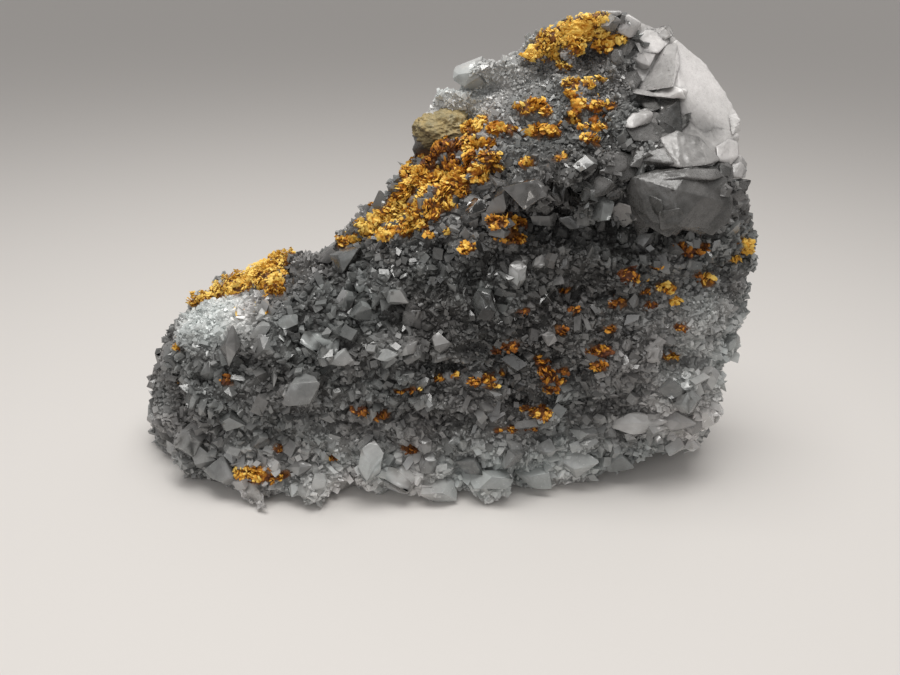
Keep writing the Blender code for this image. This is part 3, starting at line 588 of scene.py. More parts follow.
def tooth_shape(flat):
    """A dogtooth crystal: two long six-sided points on a zigzag girdle."""
    bm = bmesh.new()
    bmesh.ops.create_uvsphere(bm, u_segments=6, v_segments=2, radius=1)
    ring = sorted((v for v in bm.verts if abs(v.co.z) < 0.5), key=lambda v: math.atan2(v.co.y, v.co.x))
    for step, vert in enumerate(ring):
        vert.co.z = 0.16 if step % 2 else -0.16
        vert.co.y *= flat
    return bm


def plate_shape(seed):
    """A thin bent flake of realgar with a ragged, sharp rim."""
    draw = random.Random(seed)
    bm = bmesh.new()
    bmesh.ops.create_uvsphere(bm, u_segments=5, v_segments=2, radius=1)
    for vert in bm.verts:
        if abs(vert.co.z) > 0.5:
            vert.co.z *= draw.uniform(0.1, 0.22)
        else:
            vert.co.x *= draw.uniform(0.6, 1.25)
            vert.co.y *= draw.uniform(0.5, 1.05)
            vert.co.z += draw.uniform(-0.3, 0.3)
    return bm


def grit_shape(seed, most=1.2, squash=(1, 1, 1)):
    """A lopsided lozenge: the smallest grains, and the chips of realgar, which are squashed."""
    draw = random.Random(seed)
    bm = bmesh.new()
    bmesh.ops.create_uvsphere(bm, u_segments=4, v_segments=2, radius=1)
    for vert in bm.verts:
        vert.co *= draw.uniform(0.6, most)
    bmesh.ops.transform(bm, matrix=Matrix.Diagonal((*squash, 1)), verts=bm.verts[:])
    return bm


def worn(bm, seed, unit=1.0, width=0.07, uneven=0.04, rounds=1):
    """Softens a crystal's edges and makes its faces uneven. Edges are marked for a painted highlight, and each face
    gets a painted shade by chance that stands in for its reflection.
    """
    draw = random.Random(seed + 500)
    edge_light_layer, painted_facet_shade = bm.verts.layers.float.new("rim"), bm.faces.layers.float.new("painted_facet_shade")
    for face in bm.faces:
        face[painted_facet_shade] = draw.uniform(-0.5, 0.5)
    bmesh.ops.bevel(
        bm, geom=bm.edges[:], offset=width * unit, affect="EDGES", segments=2, profile=0.5, material=-1,
        clamp_overlap=True,
    )
    bmesh.ops.triangulate(bm, faces=bm.faces[:])
    edges = set(bm.verts)
    for _ in range(rounds):
        long = [e for e in bm.edges if e.calc_length() > LONG_EDGE * unit]
        bmesh.ops.subdivide_edges(bm, edges=long, cuts=1)
        bmesh.ops.triangulate(bm, faces=[f for f in bm.faces if len(f.verts) > 3])
    bm.normal_update()
    shift = Vector((seed * 3.7, 0, 0))
    for vert in bm.verts:
        # Painted light: each point's chance facet shade, and a painted highlight on the edges.
        vert[edge_light_layer] = sum(face[painted_facet_shade] for face in vert.link_faces) / len(vert.link_faces) + 0.4 * (vert in edges)
        place = vert.co * (2.2 / unit) + shift
        vert.co += vert.normal * uneven * unit * (noise.noise(place) + 0.6 * noise.noise(place * 2.7))
    return bm


def as_arrays(bm):
    """A shape's points, triangles, and each point's painted edge highlight and facet shade."""
    bmesh.ops.triangulate(bm, faces=bm.faces[:])
    bmesh.ops.recalc_face_normals(bm, faces=bm.faces[:])
    bm.verts.index_update()
    edge_light_layer = bm.verts.layers.float.get("rim")
    points = np.array([v.co for v in bm.verts])
    triangles = np.array([[v.index for v in f.verts] for f in bm.faces])
    painted_edge_lights = np.array([v[edge_light_layer] if edge_light_layer else 0.5 for v in bm.verts])
    bm.free()
    return points, triangles, painted_edge_lights


def turned_frames(axes, draw):
    """A turn for each axis that carries +Z on to it, with a chance turn about it."""
    z = axes / np.linalg.norm(axes, axis=1)[:, None]
    side = np.cross(z, draw.normal(size=(len(axes), 3)))
    x = side / np.linalg.norm(side, axis=1)[:, None]
    return np.stack([x, np.cross(z, x), z], axis=1)


def joined(name, shapes, kinds, places, frames, sizes, values, material, ways=None, painted_tip_light=0.0, smooth=False):
    """One mesh that holds a shape at each place; sizes are half sizes, and values are kept by name.

    With ways, such as the ways out of the rock, a value changes along them from a shape's middle to its tip: painted
    light on tips and tops, and painted shade at bases.
    """
    points, triangles, stored, start = [], [], {key: [] for key in (*values, "rim")}, 0
    for kind, (shape, faces, painted_edge_lights) in enumerate(shapes):
        rows = np.flatnonzero(kinds == kind)
        moved = shape[None] * sizes[rows][:, None] @ frames[rows] + places[rows][:, None]
        inside = np.all((moved >= CAD_BOX[0]) & (moved <= CAD_BOX[1]), axis=(1, 2))
        rows, moved = rows[inside], moved[inside]
        if not len(rows):
            continue
        points.append(moved.reshape(-1, 3))
        shifts = start + np.arange(len(rows)) * len(shape)
        triangles.append((faces[None] + shifts[:, None, None]).reshape(-1, 3))
        for key, value in values.items():
            each = np.repeat(value[rows], len(shape))
            # Painted light and shade: the value changes from each shape's base to its tip.
            if ways is not None:
                tips = np.einsum("ijk,ik->ij", moved - places[rows][:, None], ways[rows])
                tips /= sizes[rows].mean(axis=1)[:, None]
                each = np.clip(each + painted_tip_light * tips.ravel(), 0, 1)
            stored[key].append(each)
        # Each point's painted edge highlight and facet shade, kept as rim.
        stored["rim"].append(np.tile(painted_edge_lights, len(rows)))
        start += len(rows) * len(shape)
    points, triangles = np.concatenate(points), np.concatenate(triangles)
    mesh = bpy.data.meshes.new(name)
    mesh.vertices.add(len(points))
    mesh.vertices.foreach_set("co", points.ravel())
    mesh.loops.add(triangles.size)
    mesh.loops.foreach_set("vertex_index", triangles.ravel())
    mesh.polygons.add(len(triangles))
    mesh.polygons.foreach_set("loop_start", np.arange(len(triangles)) * 3)
    for key, parts in stored.items():
        store(mesh, key, np.concatenate(parts))
    mesh.update(calc_edges=True)
    if not smooth:
        mesh.shade_flat()
    obj = bpy.data.objects.new(name, mesh)
    bpy.context.scene.collection.objects.link(obj)
    mesh.materials.append(material)
    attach(obj, "root")
    return obj


# Materials.


def new_group(name, inputs, outputs):
    """A shader node group with named sockets, and its ends."""
    tree = bpy.data.node_groups.new(name, "ShaderNodeTree")
    for label, kind, value in inputs:
        tree.interface.new_socket(name=label, in_out="INPUT", socket_type=kind).default_value = value
    for label, kind in outputs:
        tree.interface.new_socket(name=label, in_out="OUTPUT", socket_type=kind)
    return tree, tree.nodes.new("NodeGroupInput"), tree.nodes.new("NodeGroupOutput")


def fill(tree, sockets, values):
    for socket, value in zip(sockets, values):
        if isinstance(value, bpy.types.NodeSocket):
            tree.links.new(value, socket)
        else:
            socket.default_value = value


def sums(tree, operation, first, second, clamp=False):
    node = tree.nodes.new("ShaderNodeMath")
    node.operation = operation
    node.use_clamp = clamp
    fill(tree, node.inputs, (first, second))
    return node.outputs[0]


def mix_colours(tree, share, first, second):
    node = tree.nodes.new("ShaderNodeMix")
    node.data_type = "RGBA"
    fill(tree, (node.inputs["Factor"], node.inputs[6], node.inputs[7]), (share, first, second))
    return node.outputs[2]


def grain_noise(tree, size, detail=2.0, roughness=0.5, bend=0.0):
    """Noise on Object coordinates whose grain is about a size in millimetres."""
    places = tree.nodes.new("ShaderNodeTexCoord")
    node = tree.nodes.new("ShaderNodeTexNoise")
    sockets = [node.inputs[label] for label in ("Scale", "Detail", "Roughness", "Distortion")]
    fill(tree, sockets, (1 / MM / size, detail, roughness, bend))
    tree.links.new(places.outputs["Object"], node.inputs["Vector"])
    return node.outputs["Fac"]


def kept_value(tree, name):
    node = tree.nodes.new("ShaderNodeAttribute")
    node.attribute_name = name
    return node.outputs["Fac"]


def in_range(tree, value, low, high):
    node = tree.nodes.new("ShaderNodeMapRange")
    fill(tree, (node.inputs["Value"], node.inputs["From Min"], node.inputs["From Max"]), (value, low, high))
    return node.outputs["Result"]


def add_relief(tree, shader, height, depth):
    """Bumps a shader's surface by a height, as deep as depth in mm."""
    relief = tree.nodes.new("ShaderNodeBump")
    relief.inputs["Distance"].default_value = depth * MM
    tree.links.new(height, relief.inputs["Height"])
    tree.links.new(relief.outputs["Normal"], shader.inputs["Normal"])


def mineral_group():
    """Clouded mineral colour: dark to light by tone, with veils, frosting, painted highlights and shade on edges and
    facets, and a drift of hue.
    """
    tree, inside, outside = new_group(
        "mineral_clouding",
        [
            ("Dark", "NodeSocketColor", (0.02, 0.02, 0.02, 1)), ("Light", "NodeSocketColor", (0.4, 0.4, 0.4, 1)),
            ("Drift", "NodeSocketColor", (0.4, 0.4, 0.4, 1)),
            ("Tone", "NodeSocketFloat", 0.5), ("Clouding", "NodeSocketFloat", 0.3), ("Frost", "NodeSocketFloat", 0.2),
            ("Painted edge light", "NodeSocketFloat", 0.0), ("Smooth", "NodeSocketFloat", 0.3), ("Dull", "NodeSocketFloat", 0.6),
        ],
        [("Color", "NodeSocketColor"), ("Roughness", "NodeSocketFloat"), ("Height", "NodeSocketFloat")],
    )
    value = inside.outputs
    veils = grain_noise(tree, 6, 4, 0.6, 0.8)
    fine = grain_noise(tree, 1.0, 3, 0.65)
    shift = sums(tree, "MULTIPLY", sums(tree, "SUBTRACT", veils, 0.5), value["Clouding"])
    tone = sums(tree, "ADD", value["Tone"], shift)
    # Painted light: the edge highlight and facet shade lighten or darken the tone.
    tone = sums(tree, "ADD", tone, value["Painted edge light"], clamp=True)
    drift = in_range(tree, grain_noise(tree, 42, 1, 0.5), 0.35, 0.65)
    light = mix_colours(tree, drift, value["Light"], value["Drift"])
    colour = mix_colours(tree, tone, value["Dark"], light)
    frosted = sums(tree, "MULTIPLY", in_range(tree, fine, 0.56, 0.74), value["Frost"])
    tree.links.new(mix_colours(tree, frosted, colour, light), outside.inputs["Color"])
    gap = sums(tree, "SUBTRACT", value["Dull"], value["Smooth"])
    rough = sums(tree, "MULTIPLY", in_range(tree, fine, 0.35, 0.7), gap)
    tree.links.new(sums(tree, "ADD", value["Smooth"], rough), outside.inputs["Roughness"])
    tree.links.new(fine, outside.inputs["Height"])
    return tree


def new_material(name, colour):
    """A material, its node tree and its Principled shader; colour is how it looks in a plain view."""
    material = bpy.data.materials.new(name)
    material.use_nodes = True
    material.diffuse_color = colour
    return material, material.node_tree, material.node_tree.nodes["Principled BSDF"]


def mineral_material(name, group, look, bump, rim=0.0, constants=None):
    """A mineral from the shared group: look holds its colours and finish, by the group's names."""
    material, tree, shader = new_material(name, look["Light"])
    node = tree.nodes.new("ShaderNodeGroup")
    node.node_tree = group
    for label, value in look.items():
        node.inputs[label].default_value = value
    tree.links.new(kept_value(tree, "tone"), node.inputs["Tone"])
    # The painted edge highlight and facet shade, kept as rim, at this strength.
    if rim:
        tree.links.new(sums(tree, "MULTIPLY", kept_value(tree, "rim"), rim), node.inputs["Painted edge light"])
    tree.links.new(node.outputs["Color"], shader.inputs["Base Color"])
    tree.links.new(node.outputs["Roughness"], shader.inputs["Roughness"])
    add_relief(tree, shader, node.outputs["Height"], bump)
    for label, value in (constants or {}).items():
        shader.inputs[label].default_value = value
    return material


def rock_material(group):
    """Rock between the grains: dark grey, stained orange-brown next to the realgar."""
    look = {
        "Dark": (0.014, 0.013, 0.012, 1), "Light": (0.60, 0.58, 0.56, 1), "Drift": (0.54, 0.56, 0.55, 1),
        "Clouding": 0.25, "Frost": 0.1, "Smooth": 0.4, "Dull": 0.8,
    }
    material = mineral_material("grey_rock", group, look, bump=0.5)
    tree, shader = material.node_tree, material.node_tree.nodes["Principled BSDF"]
    grey = shader.inputs["Base Color"].links[0].from_socket
    blotches = in_range(tree, grain_noise(tree, 2.5, 3, 0.6), 0.3, 0.7)
    stain = mix_colours(tree, blotches, (0.05, 0.016, 0.005, 1), (0.30, 0.115, 0.015, 1))
    tree.links.new(mix_colours(tree, kept_value(tree, "stain"), grey, stain), shader.inputs["Base Color"])
    return material


def realgar_material():
    """Crumbly realgar: bright yellow where it is powdery, through orange to dark red-brown."""
    material, tree, shader = new_material("realgar", (0.6, 0.32, 0.04, 1))
    ramp = tree.nodes.new("ShaderNodeValToRGB")
    stops = [
        (0.0, (0.92, 0.66, 0.17, 1)), (0.2, (0.80, 0.48, 0.075, 1)), (0.42, (0.62, 0.28, 0.030, 1)),
        (0.66, (0.33, 0.11, 0.014, 1)), (1.0, (0.08, 0.024, 0.010, 1)),
    ]
    while len(ramp.color_ramp.elements) < len(stops):
        ramp.color_ramp.elements.new(0.5)
    for element, (place, colour) in zip(ramp.color_ramp.elements, stops):
        element.position, element.color = place, colour
    fine = grain_noise(tree, 1.4, 3, 0.6)
    broad = grain_noise(tree, 6, 2, 0.5)
    shift = sums(tree, "MULTIPLY", sums(tree, "SUBTRACT", sums(tree, "ADD", fine, broad), 1.0), 0.4)
    tree.links.new(sums(tree, "ADD", kept_value(tree, "depth"), shift, clamp=True), ramp.inputs["Fac"])
    tree.links.new(ramp.outputs["Color"], shader.inputs["Base Color"])
    rough = sums(tree, "ADD", sums(tree, "MULTIPLY", fine, 0.4), 0.4, clamp=True)
    tree.links.new(rough, shader.inputs["Roughness"])
    add_relief(tree, shader, fine, 0.15)
    shader.inputs["Specular IOR Level"].default_value = 0.3
    return material


def lump_material():
    """The altered lump: olive, weathered, with ochre blotches, dark pits, and painted shade on its underside and in
    its hollows.
    """
    material, tree, shader = new_material("olive_lump", (0.16, 0.15, 0.08, 1))
    broad, fine = grain_noise(tree, 9, 4, 0.6, 0.6), grain_noise(tree, 1.6, 4, 0.7)
    colour = mix_colours(tree, in_range(tree, broad, 0.35, 0.65), (0.26, 0.225, 0.13, 1), (0.40, 0.30, 0.13, 1))
    colour = mix_colours(tree, in_range(tree, fine, 0.58, 0.7), colour, (0.55, 0.48, 0.34, 1))
    colour = mix_colours(tree, in_range(tree, fine, 0.42, 0.3), colour, (0.045, 0.04, 0.02, 1))
    # Painted shade: dark brown where the under value is high, on faces turned down and in hollows.
    colour = mix_colours(tree, kept_value(tree, "under"), colour, (0.05, 0.035, 0.018, 1))
    tree.links.new(colour, shader.inputs["Base Color"])
    tree.links.new(in_range(tree, fine, -0.6, 1.0), shader.inputs["Roughness"])
    add_relief(tree, shader, fine, 0.6)
    return material


def add_floor():
    bm = bmesh.new()
    bmesh.ops.create_grid(bm, x_segments=2, y_segments=2, size=15)
    material, tree, shader = new_material("pale_floor", (0.6, 0.6, 0.59, 1))
    shader.inputs["Base Color"].default_value = (0.70, 0.675, 0.65, 1)
    shader.inputs["Roughness"].default_value = 0.75
    add_piece("floor", bm, material)


# The specimen.


def bedding(points):
    """Ledges that run across, from 0 to 1: each stands out most at its top, and steps back above it."""
    level = (points[:, 2] + 0.15 * points[:, 0]) / (17 * MM) + 0.6 * lumpy(points * LEDGES, 40, 6.0)
    return (level % 1) ** 1.5 * np.clip(0.6 + 1.2 * lumpy(points, 60, 12.0), 0, 1)


def add_rock(material, patches, zones):
    """The rock's own surface, run together under the crusts and broken up finely."""
    obj = remesh(copy_of_nodes("rock", [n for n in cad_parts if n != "white_calcite"]), ROCK_CELL)
    mesh = obj.data
    places, out = read(mesh), spread(mesh, read(mesh, "normal"), 3)
    out /= np.linalg.norm(out, axis=1)[:, None]
    height = 1.3 * ridged(places * LEDGES, 15) + 1.4 * lumpy(places, 8, 5.0) + 0.9 * lumpy(places, 3.2, 9.0) - 2.2
    height += 3.2 * bedding(places) + zone_sum(places, zones)
    inside, _ = in_patches(places, patches, 1.1)
    height += 1.4 * np.clip(inside * 3, 0, 1)
    height[places[:, 2] < 0.4 * MM] = 0
    height *= np.clip(places[:, 2] / (6 * MM), 0.25, 1)
    move(mesh, places + out * height[:, None] * MM)
    mesh.materials.append(material)
    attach(obj, "root")
    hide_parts("calcite_matrix")
    return obj, out


def surface_tree(*objects):
    bm = bmesh.new()
    for obj in objects:
        bm.from_mesh(obj.data)
    tree = BVHTree.FromBMesh(bm)
    bm.free()
    return tree


def druse(name, rock, out, tone_and_shade_of, size_of, patches, held, shapes, material, numbers):
    """Calcite crystals sown over the rock, off the realgar patches and the places held by larger crystals."""
    count, least, added, power, rise, wild, clear, seed = numbers
    draw = np.random.default_rng(seed)
    at = sow(rock.data, count, seed + 1, size_of ** CROWDING * np.where(out[:, 1] > FACING_BACK, BACK_SHARE, 1))
    points, normals, tone, coarse = at(read(rock.data)), at(out), at(tone_and_shade_of), at(size_of)
    covered, _ = in_patches(points, patches)
    centre, halves = OLIVE_LUMP
    off_lump = np.linalg.norm((points / MM - centre) / halves, axis=1) + 0.25 * (points[:, 2] / MM - centre[2]) / 12
    taken, _ = in_patches(points, held)
    keep = (points[:, 2] > clear * MM) & (draw.random(count) > covered * 6)
    keep &= (off_lump > LUMP_GAP) & (taken < HELD_SHARE)
    points, normals, tone, coarse = points[keep], normals[keep], tone[keep], coarse[keep]
    count = len(points)
    half = (least + added * draw.random(count) ** power) * coarse * MM
    tone = tone + draw.normal(0, 0.035, count) + LIGHT_GRAINS[1] * (draw.random(count) > LIGHT_GRAINS[0])
    frames = turned_frames(normals + draw.normal(0, wild, (count, 3)), draw)
    stretch = np.stack([draw.uniform(*span, count) for span in ((0.5, 1.1), (0.4, 1.0), (0.9, 1.8))], axis=1)
    kinds = draw.integers(0, len(shapes), count)
    places = points + normals * (half * draw.uniform(-0.4, rise, count))[:, None]
    values = np.clip(tone, 0.02, 1)
    sizes = half[:, None] * stretch
    across, in_front = points[:, 0], points[:, 1] < PART_DEPTH
    for part, (front, first, last) in PARTS.items():
        rows = np.flatnonzero((in_front == front) & (across >= first) & (across < last))
        # Grains are lighter towards their tips and darker at their bases: painted light and shade.
        joined(
            f"calcite_{name}_{part}", shapes, kinds[rows], places[rows], frames[rows], sizes[rows],
            {"tone": values[rows]}, material, normals[rows], TIP_PAINTED_LIGHT,
        )


def set_crystals(tree, crystals, seed):
    """Which shape, the place, turn, half sizes and tone of each crystal that the picture shows."""
    draw = np.random.default_rng(seed)
    turn = camera_turn()
    kinds, places, frames, sizes, tones = [], [], [], [], []
    for point, normal, distance, length, width, lean, kind, tone in spots(tree, crystals):
        angle = math.radians(lean)
        normal = Vector(normal)
        axis = (turn @ Vector((math.sin(angle), math.cos(angle), 0)) + normal * 0.3).normalized()
        side = axis.cross(normal).normalized()
        spin = draw.uniform(-0.5, 0.5)
        x = side * math.cos(spin) + side.cross(axis) * math.sin(spin)
        half_width, half_length = width * distance / FOCAL / 2, length * distance / FOCAL / 2
        half_depth = half_width * (0.75 if kind == "lens" else 0.95)
        kinds.append(draw.choice(list(KINDS[kind])))
        places.append(point + np.array(normal) * half_depth * 0.3)
        frames.append([x, axis.cross(x), axis])
        sizes.append([half_width * 1.15, half_depth * 1.15, half_length * 1.1])
        tones.append(tone)
    return np.array(kinds), np.array(places), np.array(frames), np.array(sizes), np.array(tones)


def back_crystals(rock, out, tone_and_shade_of, shapes, material):
    """Larger crystals by chance over the side that the picture doesn't show: their places and half sizes."""
    count, least, added, seed = BACK_CRYSTALS
    draw = np.random.default_rng(seed)
    at = sow(rock.data, count, seed + 1)
    points, normals, tone = at(read(rock.data)), at(out), at(tone_and_shade_of)
    keep = (points[:, 1] > PART_DEPTH) & (points[:, 2] > BACK_FROM[1] * MM) & (normals[:, 1] > BACK_FROM[0])
    points, normals, tone = points[keep], normals[keep], tone[keep]
    count = len(points)
    half = (least + added * draw.random(count) ** 2) * MM
    frames = turned_frames(normals + draw.normal(0, 0.8, (count, 3)), draw)
    stretch = np.stack([draw.uniform(*span, count) for span in ((0.6, 1), (0.6, 1), (0.9, 1.5))], axis=1)
    kinds = draw.integers(0, len(shapes), count)
    tones = np.clip(tone + draw.uniform(0.02, 0.35, count), 0, 1)
    joined(
        "back_crystals", shapes, kinds, points + normals * half[:, None] * 0.1, frames, half[:, None] * stretch,
        {"tone": tones}, material, smooth=True,
    )
    return points, half


def realgar_crust(node, patches, material):
    """One crust or patch: its CAD solid, torn into sharp folds, with painted shade in its hollows and under its
    folds.
    """
    name = node + "_mass"
    obj = remesh(copy_of_nodes(name, [node]), CRUST_CELL)
    mesh = obj.data
    places, normals = read(mesh), spread(mesh, read(mesh, "normal"), 2)
    shelves = places * SHELVES
    height = 1.2 * ridged(shelves, 6) + 0.8 * ridged(shelves, 3, 4.0) + 0.45 * ridged(places, 1.8, 8.0)
    _, depth = in_patches(places, patches, 2.5)
    inside, _ = in_patches(places, patches)
    sunk = 0.5 + 2.5 * np.clip(1 - inside * 8, 0, 1)
    move(mesh, places + normals * (height - sunk)[:, None] * MM)
    # Painted shade: the crust is deeper red-brown in its hollows and on faces turned down, and brighter on faces
    # turned up and on what stands out.
    store(mesh, "depth", np.clip(1.4 * depth + 0.36 - 0.16 * height - 0.14 * normals[:, 2], 0, 1))
    mesh.materials.append(material)
    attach(obj, "root")
    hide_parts(node)


def realgar_scatter(rock, out, patches, plates, chips, material):
    """Plates and chips of realgar heaped over every patch, with painted shade low in the heap and painted light on
    top.
    """
    for name, shapes, (count, least, added, rise, seed) in (("plates", plates, PLATES), ("chips", chips, CHIPS)):
        draw = np.random.default_rng(seed)
        at = sow(rock.data, count, seed + 1)
        points, normals = at(read(rock.data)), at(out)
        inside, depth = in_patches(points, patches, 1.1)
        edge = 0.16 + 0.22 * waves(points, 4, 11, draw)
        pits = waves(points, 3, 8, np.random.default_rng(PIT_SEED))
        keep = (inside > np.maximum(edge, 0.001)) & (points[:, 2] > 3 * MM) & (pits > PIT_BELOW)
        points, normals, inside, depth, pits = (values[keep] for values in (points, normals, inside, depth, pits))
        count = len(points)
        lift = draw.random(count)
        grain = np.stack([waves(points, 9, 26, draw) for _ in range(3)], axis=1)
        axes = normals * 0.3 + grain * 0.9 + draw.normal(0, 0.35, (count, 3)) + (0, 0, 0.5)
        frames = turned_frames(axes, draw)
        half = (least + added * draw.random(count) ** 1.6) * np.clip(0.6 + inside, 0.6, 1) * MM
        half *= np.where(depth < FINE_BELOW, 0.7, 1)
        stretch = np.stack([np.ones(count), draw.uniform(0.55, 1.0, count), draw.uniform(0.5, 1.0, count)], axis=1)
        # Painted shade: plates lower in the heap and beside the pits are deeper red-brown, and the upper ones
        # brighter.
        colour = depth * (1.5 - 0.7 * lift) + 0.5 * (0.55 - lift) + 0.2 * np.clip(0.1 - pits, 0, 1)
        colour = np.clip(colour + draw.normal(0, 0.08, count) + 0.12 * (inside < 0.15), 0, 1)
        places = points + normals * (lift * np.clip(inside * 3, 0.2, 1) * rise * MM)[:, None]
        kinds, sizes = draw.integers(0, len(shapes), count), half[:, None] * stretch
        upper = (points[:, 0] > UPPER_FROM[0]) & (points[:, 2] > UPPER_FROM[1])
        for side, rows in (("upper", np.flatnonzero(upper)), ("lower", np.flatnonzero(~upper))):
            joined(
                f"realgar_{name}_{side}", shapes, kinds[rows], places[rows], frames[rows], sizes[rows],
                {"depth": colour[rows]}, material, np.tile((0.0, 0.0, 1.0), (len(rows), 1)), FLAKE_TOP_PAINTED_LIGHT,
            )


def add_lump(material):
    """The rounded olive lump under the upper crust, with painted shade on its underside."""
    centre, halves = OLIVE_LUMP
    bm = bmesh.new()
    bmesh.ops.create_icosphere(bm, subdivisions=6, radius=1)
    for vert in bm.verts:
        place = vert.co.copy()
        swell = 1.04 + 0.22 * noise.noise(place * 1.6) - 0.2 * abs(noise.noise(place * 2.6))
        vert.co *= swell - 0.09 * abs(noise.noise(place * 6))
        vert.co *= 1 + 0.04 * noise.noise(place * 14) - 0.03 * abs(noise.noise(place * 25))
    shape = Matrix.Translation(Vector(centre) * MM) @ Matrix.Diagonal((*(h * MM for h in halves), 1))
    bmesh.ops.transform(bm, matrix=shape, verts=bm.verts[:])
    obj = add_piece("olive_lump", bm, material)
    obj.data.shade_smooth()
    out = read(obj.data, "normal")
    # Painted shade: the under value is high on faces turned down and in hollows.
    store(obj.data, "under", np.clip(0.25 - 0.9 * out[:, 2] - 0.1 * standing_out(obj.data, 6), 0, 1))
    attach(obj, "root")


def hull_of(corners):
    """The flat-faced solid that just holds a set of corners."""
    bm = bmesh.new()
    made = bmesh.ops.convex_hull(bm, input=[bm.verts.new(corner) for corner in corners])
    loose = [v for v in made["geom_interior"] if isinstance(v, bmesh.types.BMVert)]
    bmesh.ops.delete(bm, geom=loose, context="VERTS")
    bmesh.ops.dissolve_limit(bm, angle_limit=math.radians(9), verts=bm.verts[:], edges=bm.edges[:])
    return bm


def weathered(bm, seed, tone):
    """A crystal with cleavage steps, worn edges and slightly uneven faces, and each point's tone, with painted
    highlights on its edges and painted shade on some facets.
    """
    obj = add_piece("crystal", worn(bm, seed, WHITE_CELL * MM / LONG_EDGE, 0.12, 0.05, 5))
    mesh = obj.data
    places, normals = read(mesh), read(mesh, "normal")
    along = places @ np.array(CLEAVAGE)
    steps = np.round(3 * lumpy(along, 9, 3.0)) / 3
    height = 0.35 * steps + 0.2 * lumpy(along, 4, 7.0) + 0.1 * lumpy(places, 2.2)
    move(mesh, places + normals * height[:, None] * MM)
    # Painted light: the tone is lighter on edges, and lighter or darker by facet.
    painted_edge_lights = np.empty(len(places), dtype=np.float32)
    mesh.attributes["rim"].data.foreach_get("value", painted_edge_lights)
    return obj, tone * (1 + 0.3 * painted_edge_lights) + 0.05 * painted_edge_lights


def crystal_in_picture(tree, root, corners):
    """A crystal given by its corners in the picture, (across, down, mm it stands out), and its root in mm."""
    found, missed = [], []
    for across, down, proud in corners:
        start, line = sight(across, down)
        point, _, _, distance = tree.ray_cast(start, line)
        if point is None:
            missed.append((start, line, proud))
        else:
            found.append((start, line, distance, proud))
    usual = np.median([distance for _, _, distance, _ in found])
    found += [(start, line, usual, proud) for start, line, proud in missed]
    points = []
    for start, line, distance, proud in found:
        distance = min(distance, usual + FARTHEST * MM)
        points.append(start + line * (distance - proud * MM))
        points.append(start + line * (usual + root * MM))
    return hull_of(points)


def add_white_crystals(rock, white_finish, smoky_finish, shapes):
    """The white cluster: its main crystals, and smaller ones set among them, each a skin of its own."""
    moved = Vector(ROW_TO_MODEL)
    shells = [(hull_of([(Vector(c) + moved) * MM for c in corners]), tone) for tone, corners in WHITE_CRYSTALS]
    made = [(*weathered(bm, seed, tone), tone) for seed, (bm, tone) in enumerate(shells)]
    tree = surface_tree(rock, *(obj for obj, *_ in made))
    shells = [(crystal_in_picture(tree, root, corners), tone) for tone, root, corners in PICTURE_CRYSTALS]
    for kind, place, turn, size, tone in zip(*set_crystals(tree, WHITE_SHARDS, WHITE_SEED)):
        shells.append((hull_of([Vector(p) for p in shapes[kind][0] * size @ turn + place]), tone))
    made += [(*weathered(bm, seed, tone), tone) for seed, (bm, tone) in enumerate(shells, 20)]
    parts = {"white_crystals": ([], []), "smoky_crystals": ([], [])}
    for obj, tones, tone in made:
        part = parts["white_crystals" if tone > SMOKY_BELOW else "smoky_crystals"]
        part[0].append(obj)
        part[1].append(tones)
    tree = surface_tree(rock, *(obj for obj, *_ in made))
    zones = spots(tree, WHITE_ZONES)
    for name, (objects, tones) in parts.items():
        bm = bmesh.new()
        for obj in objects:
            bm.from_mesh(obj.data)
            bpy.data.objects.remove(obj)
        piece = add_piece(name, bm, white_finish if name == "white_crystals" else smoky_finish)
        piece.data.shade_smooth()
        places = read(piece.data)
        tone = np.concatenate(tones) + zone_sum(places, zones) + 0.1 * lumpy(places, 14, 3.0)
        store(piece.data, "tone", np.clip(tone, 0.03, 1))
        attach(piece, "root")
    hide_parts("white_calcite")


def realgar_patches(tree):
    """Centre, reach in metres and depth of colour of each realgar patch, in the picture and behind."""
    patches = [
        (point, reach * distance / FOCAL, depth)
        for point, _, distance, reach, depth in spots(tree, REALGAR_CRUSTS + REALGAR_FLECKS)
    ]
    for x, y, z, reach, depth in HIDDEN_REALGAR:
        patches.append((np.array(tree.find_nearest(Vector((x, y, z)) * MM)[0]), reach * MM, depth))
    for point, _, distance, reach, depth in spots(tree, REALGAR_CRUSTS[-CREST:]):
        behind = Vector(point) + Vector(BEHIND) * MM
        patches.append((np.array(tree.find_nearest(behind)[0]), reach * distance / FOCAL, depth))
    return patches


def tone_and_shade_of_rock(rock, tree):
    """How light the rock and its grains are at each of its points, with painted shade in its hollows and painted
    light on what stands out.
    """
    places = read(rock.data)
    # Painted shade: darker where the surface lies in a hollow, lighter where it stands out; the zones add painted
    # shade in recesses too.
    proud = np.clip(standing_out(rock.data, 24), -3, 3)
    tone = 0.12 + 0.7 * zone_sum(places, spots(tree, TONE_AND_SHADE_ZONES)) + 0.025 * proud + 0.05 * lumpy(places, 30, 2.0)
    behind = np.clip((places[:, 1] - PART_DEPTH) / (15 * MM), 0, 1)
    return tone + 0.4 * np.clip(lumpy(places, 50, 21.0) + 0.1, 0, 1) * behind


def size_of_grains(rock, out, tree):
    """A factor on the grains' size at each point of the rock."""
    places = read(rock.data)
    zones = [(*place, math.log(factor)) for *place, factor in spots(tree, SIZE_ZONES)]
    return np.exp(zone_sum(places, zones)) * np.exp(0.5 * lumpy(places, 45, 33.0) * (out[:, 1] > FACING_BACK))


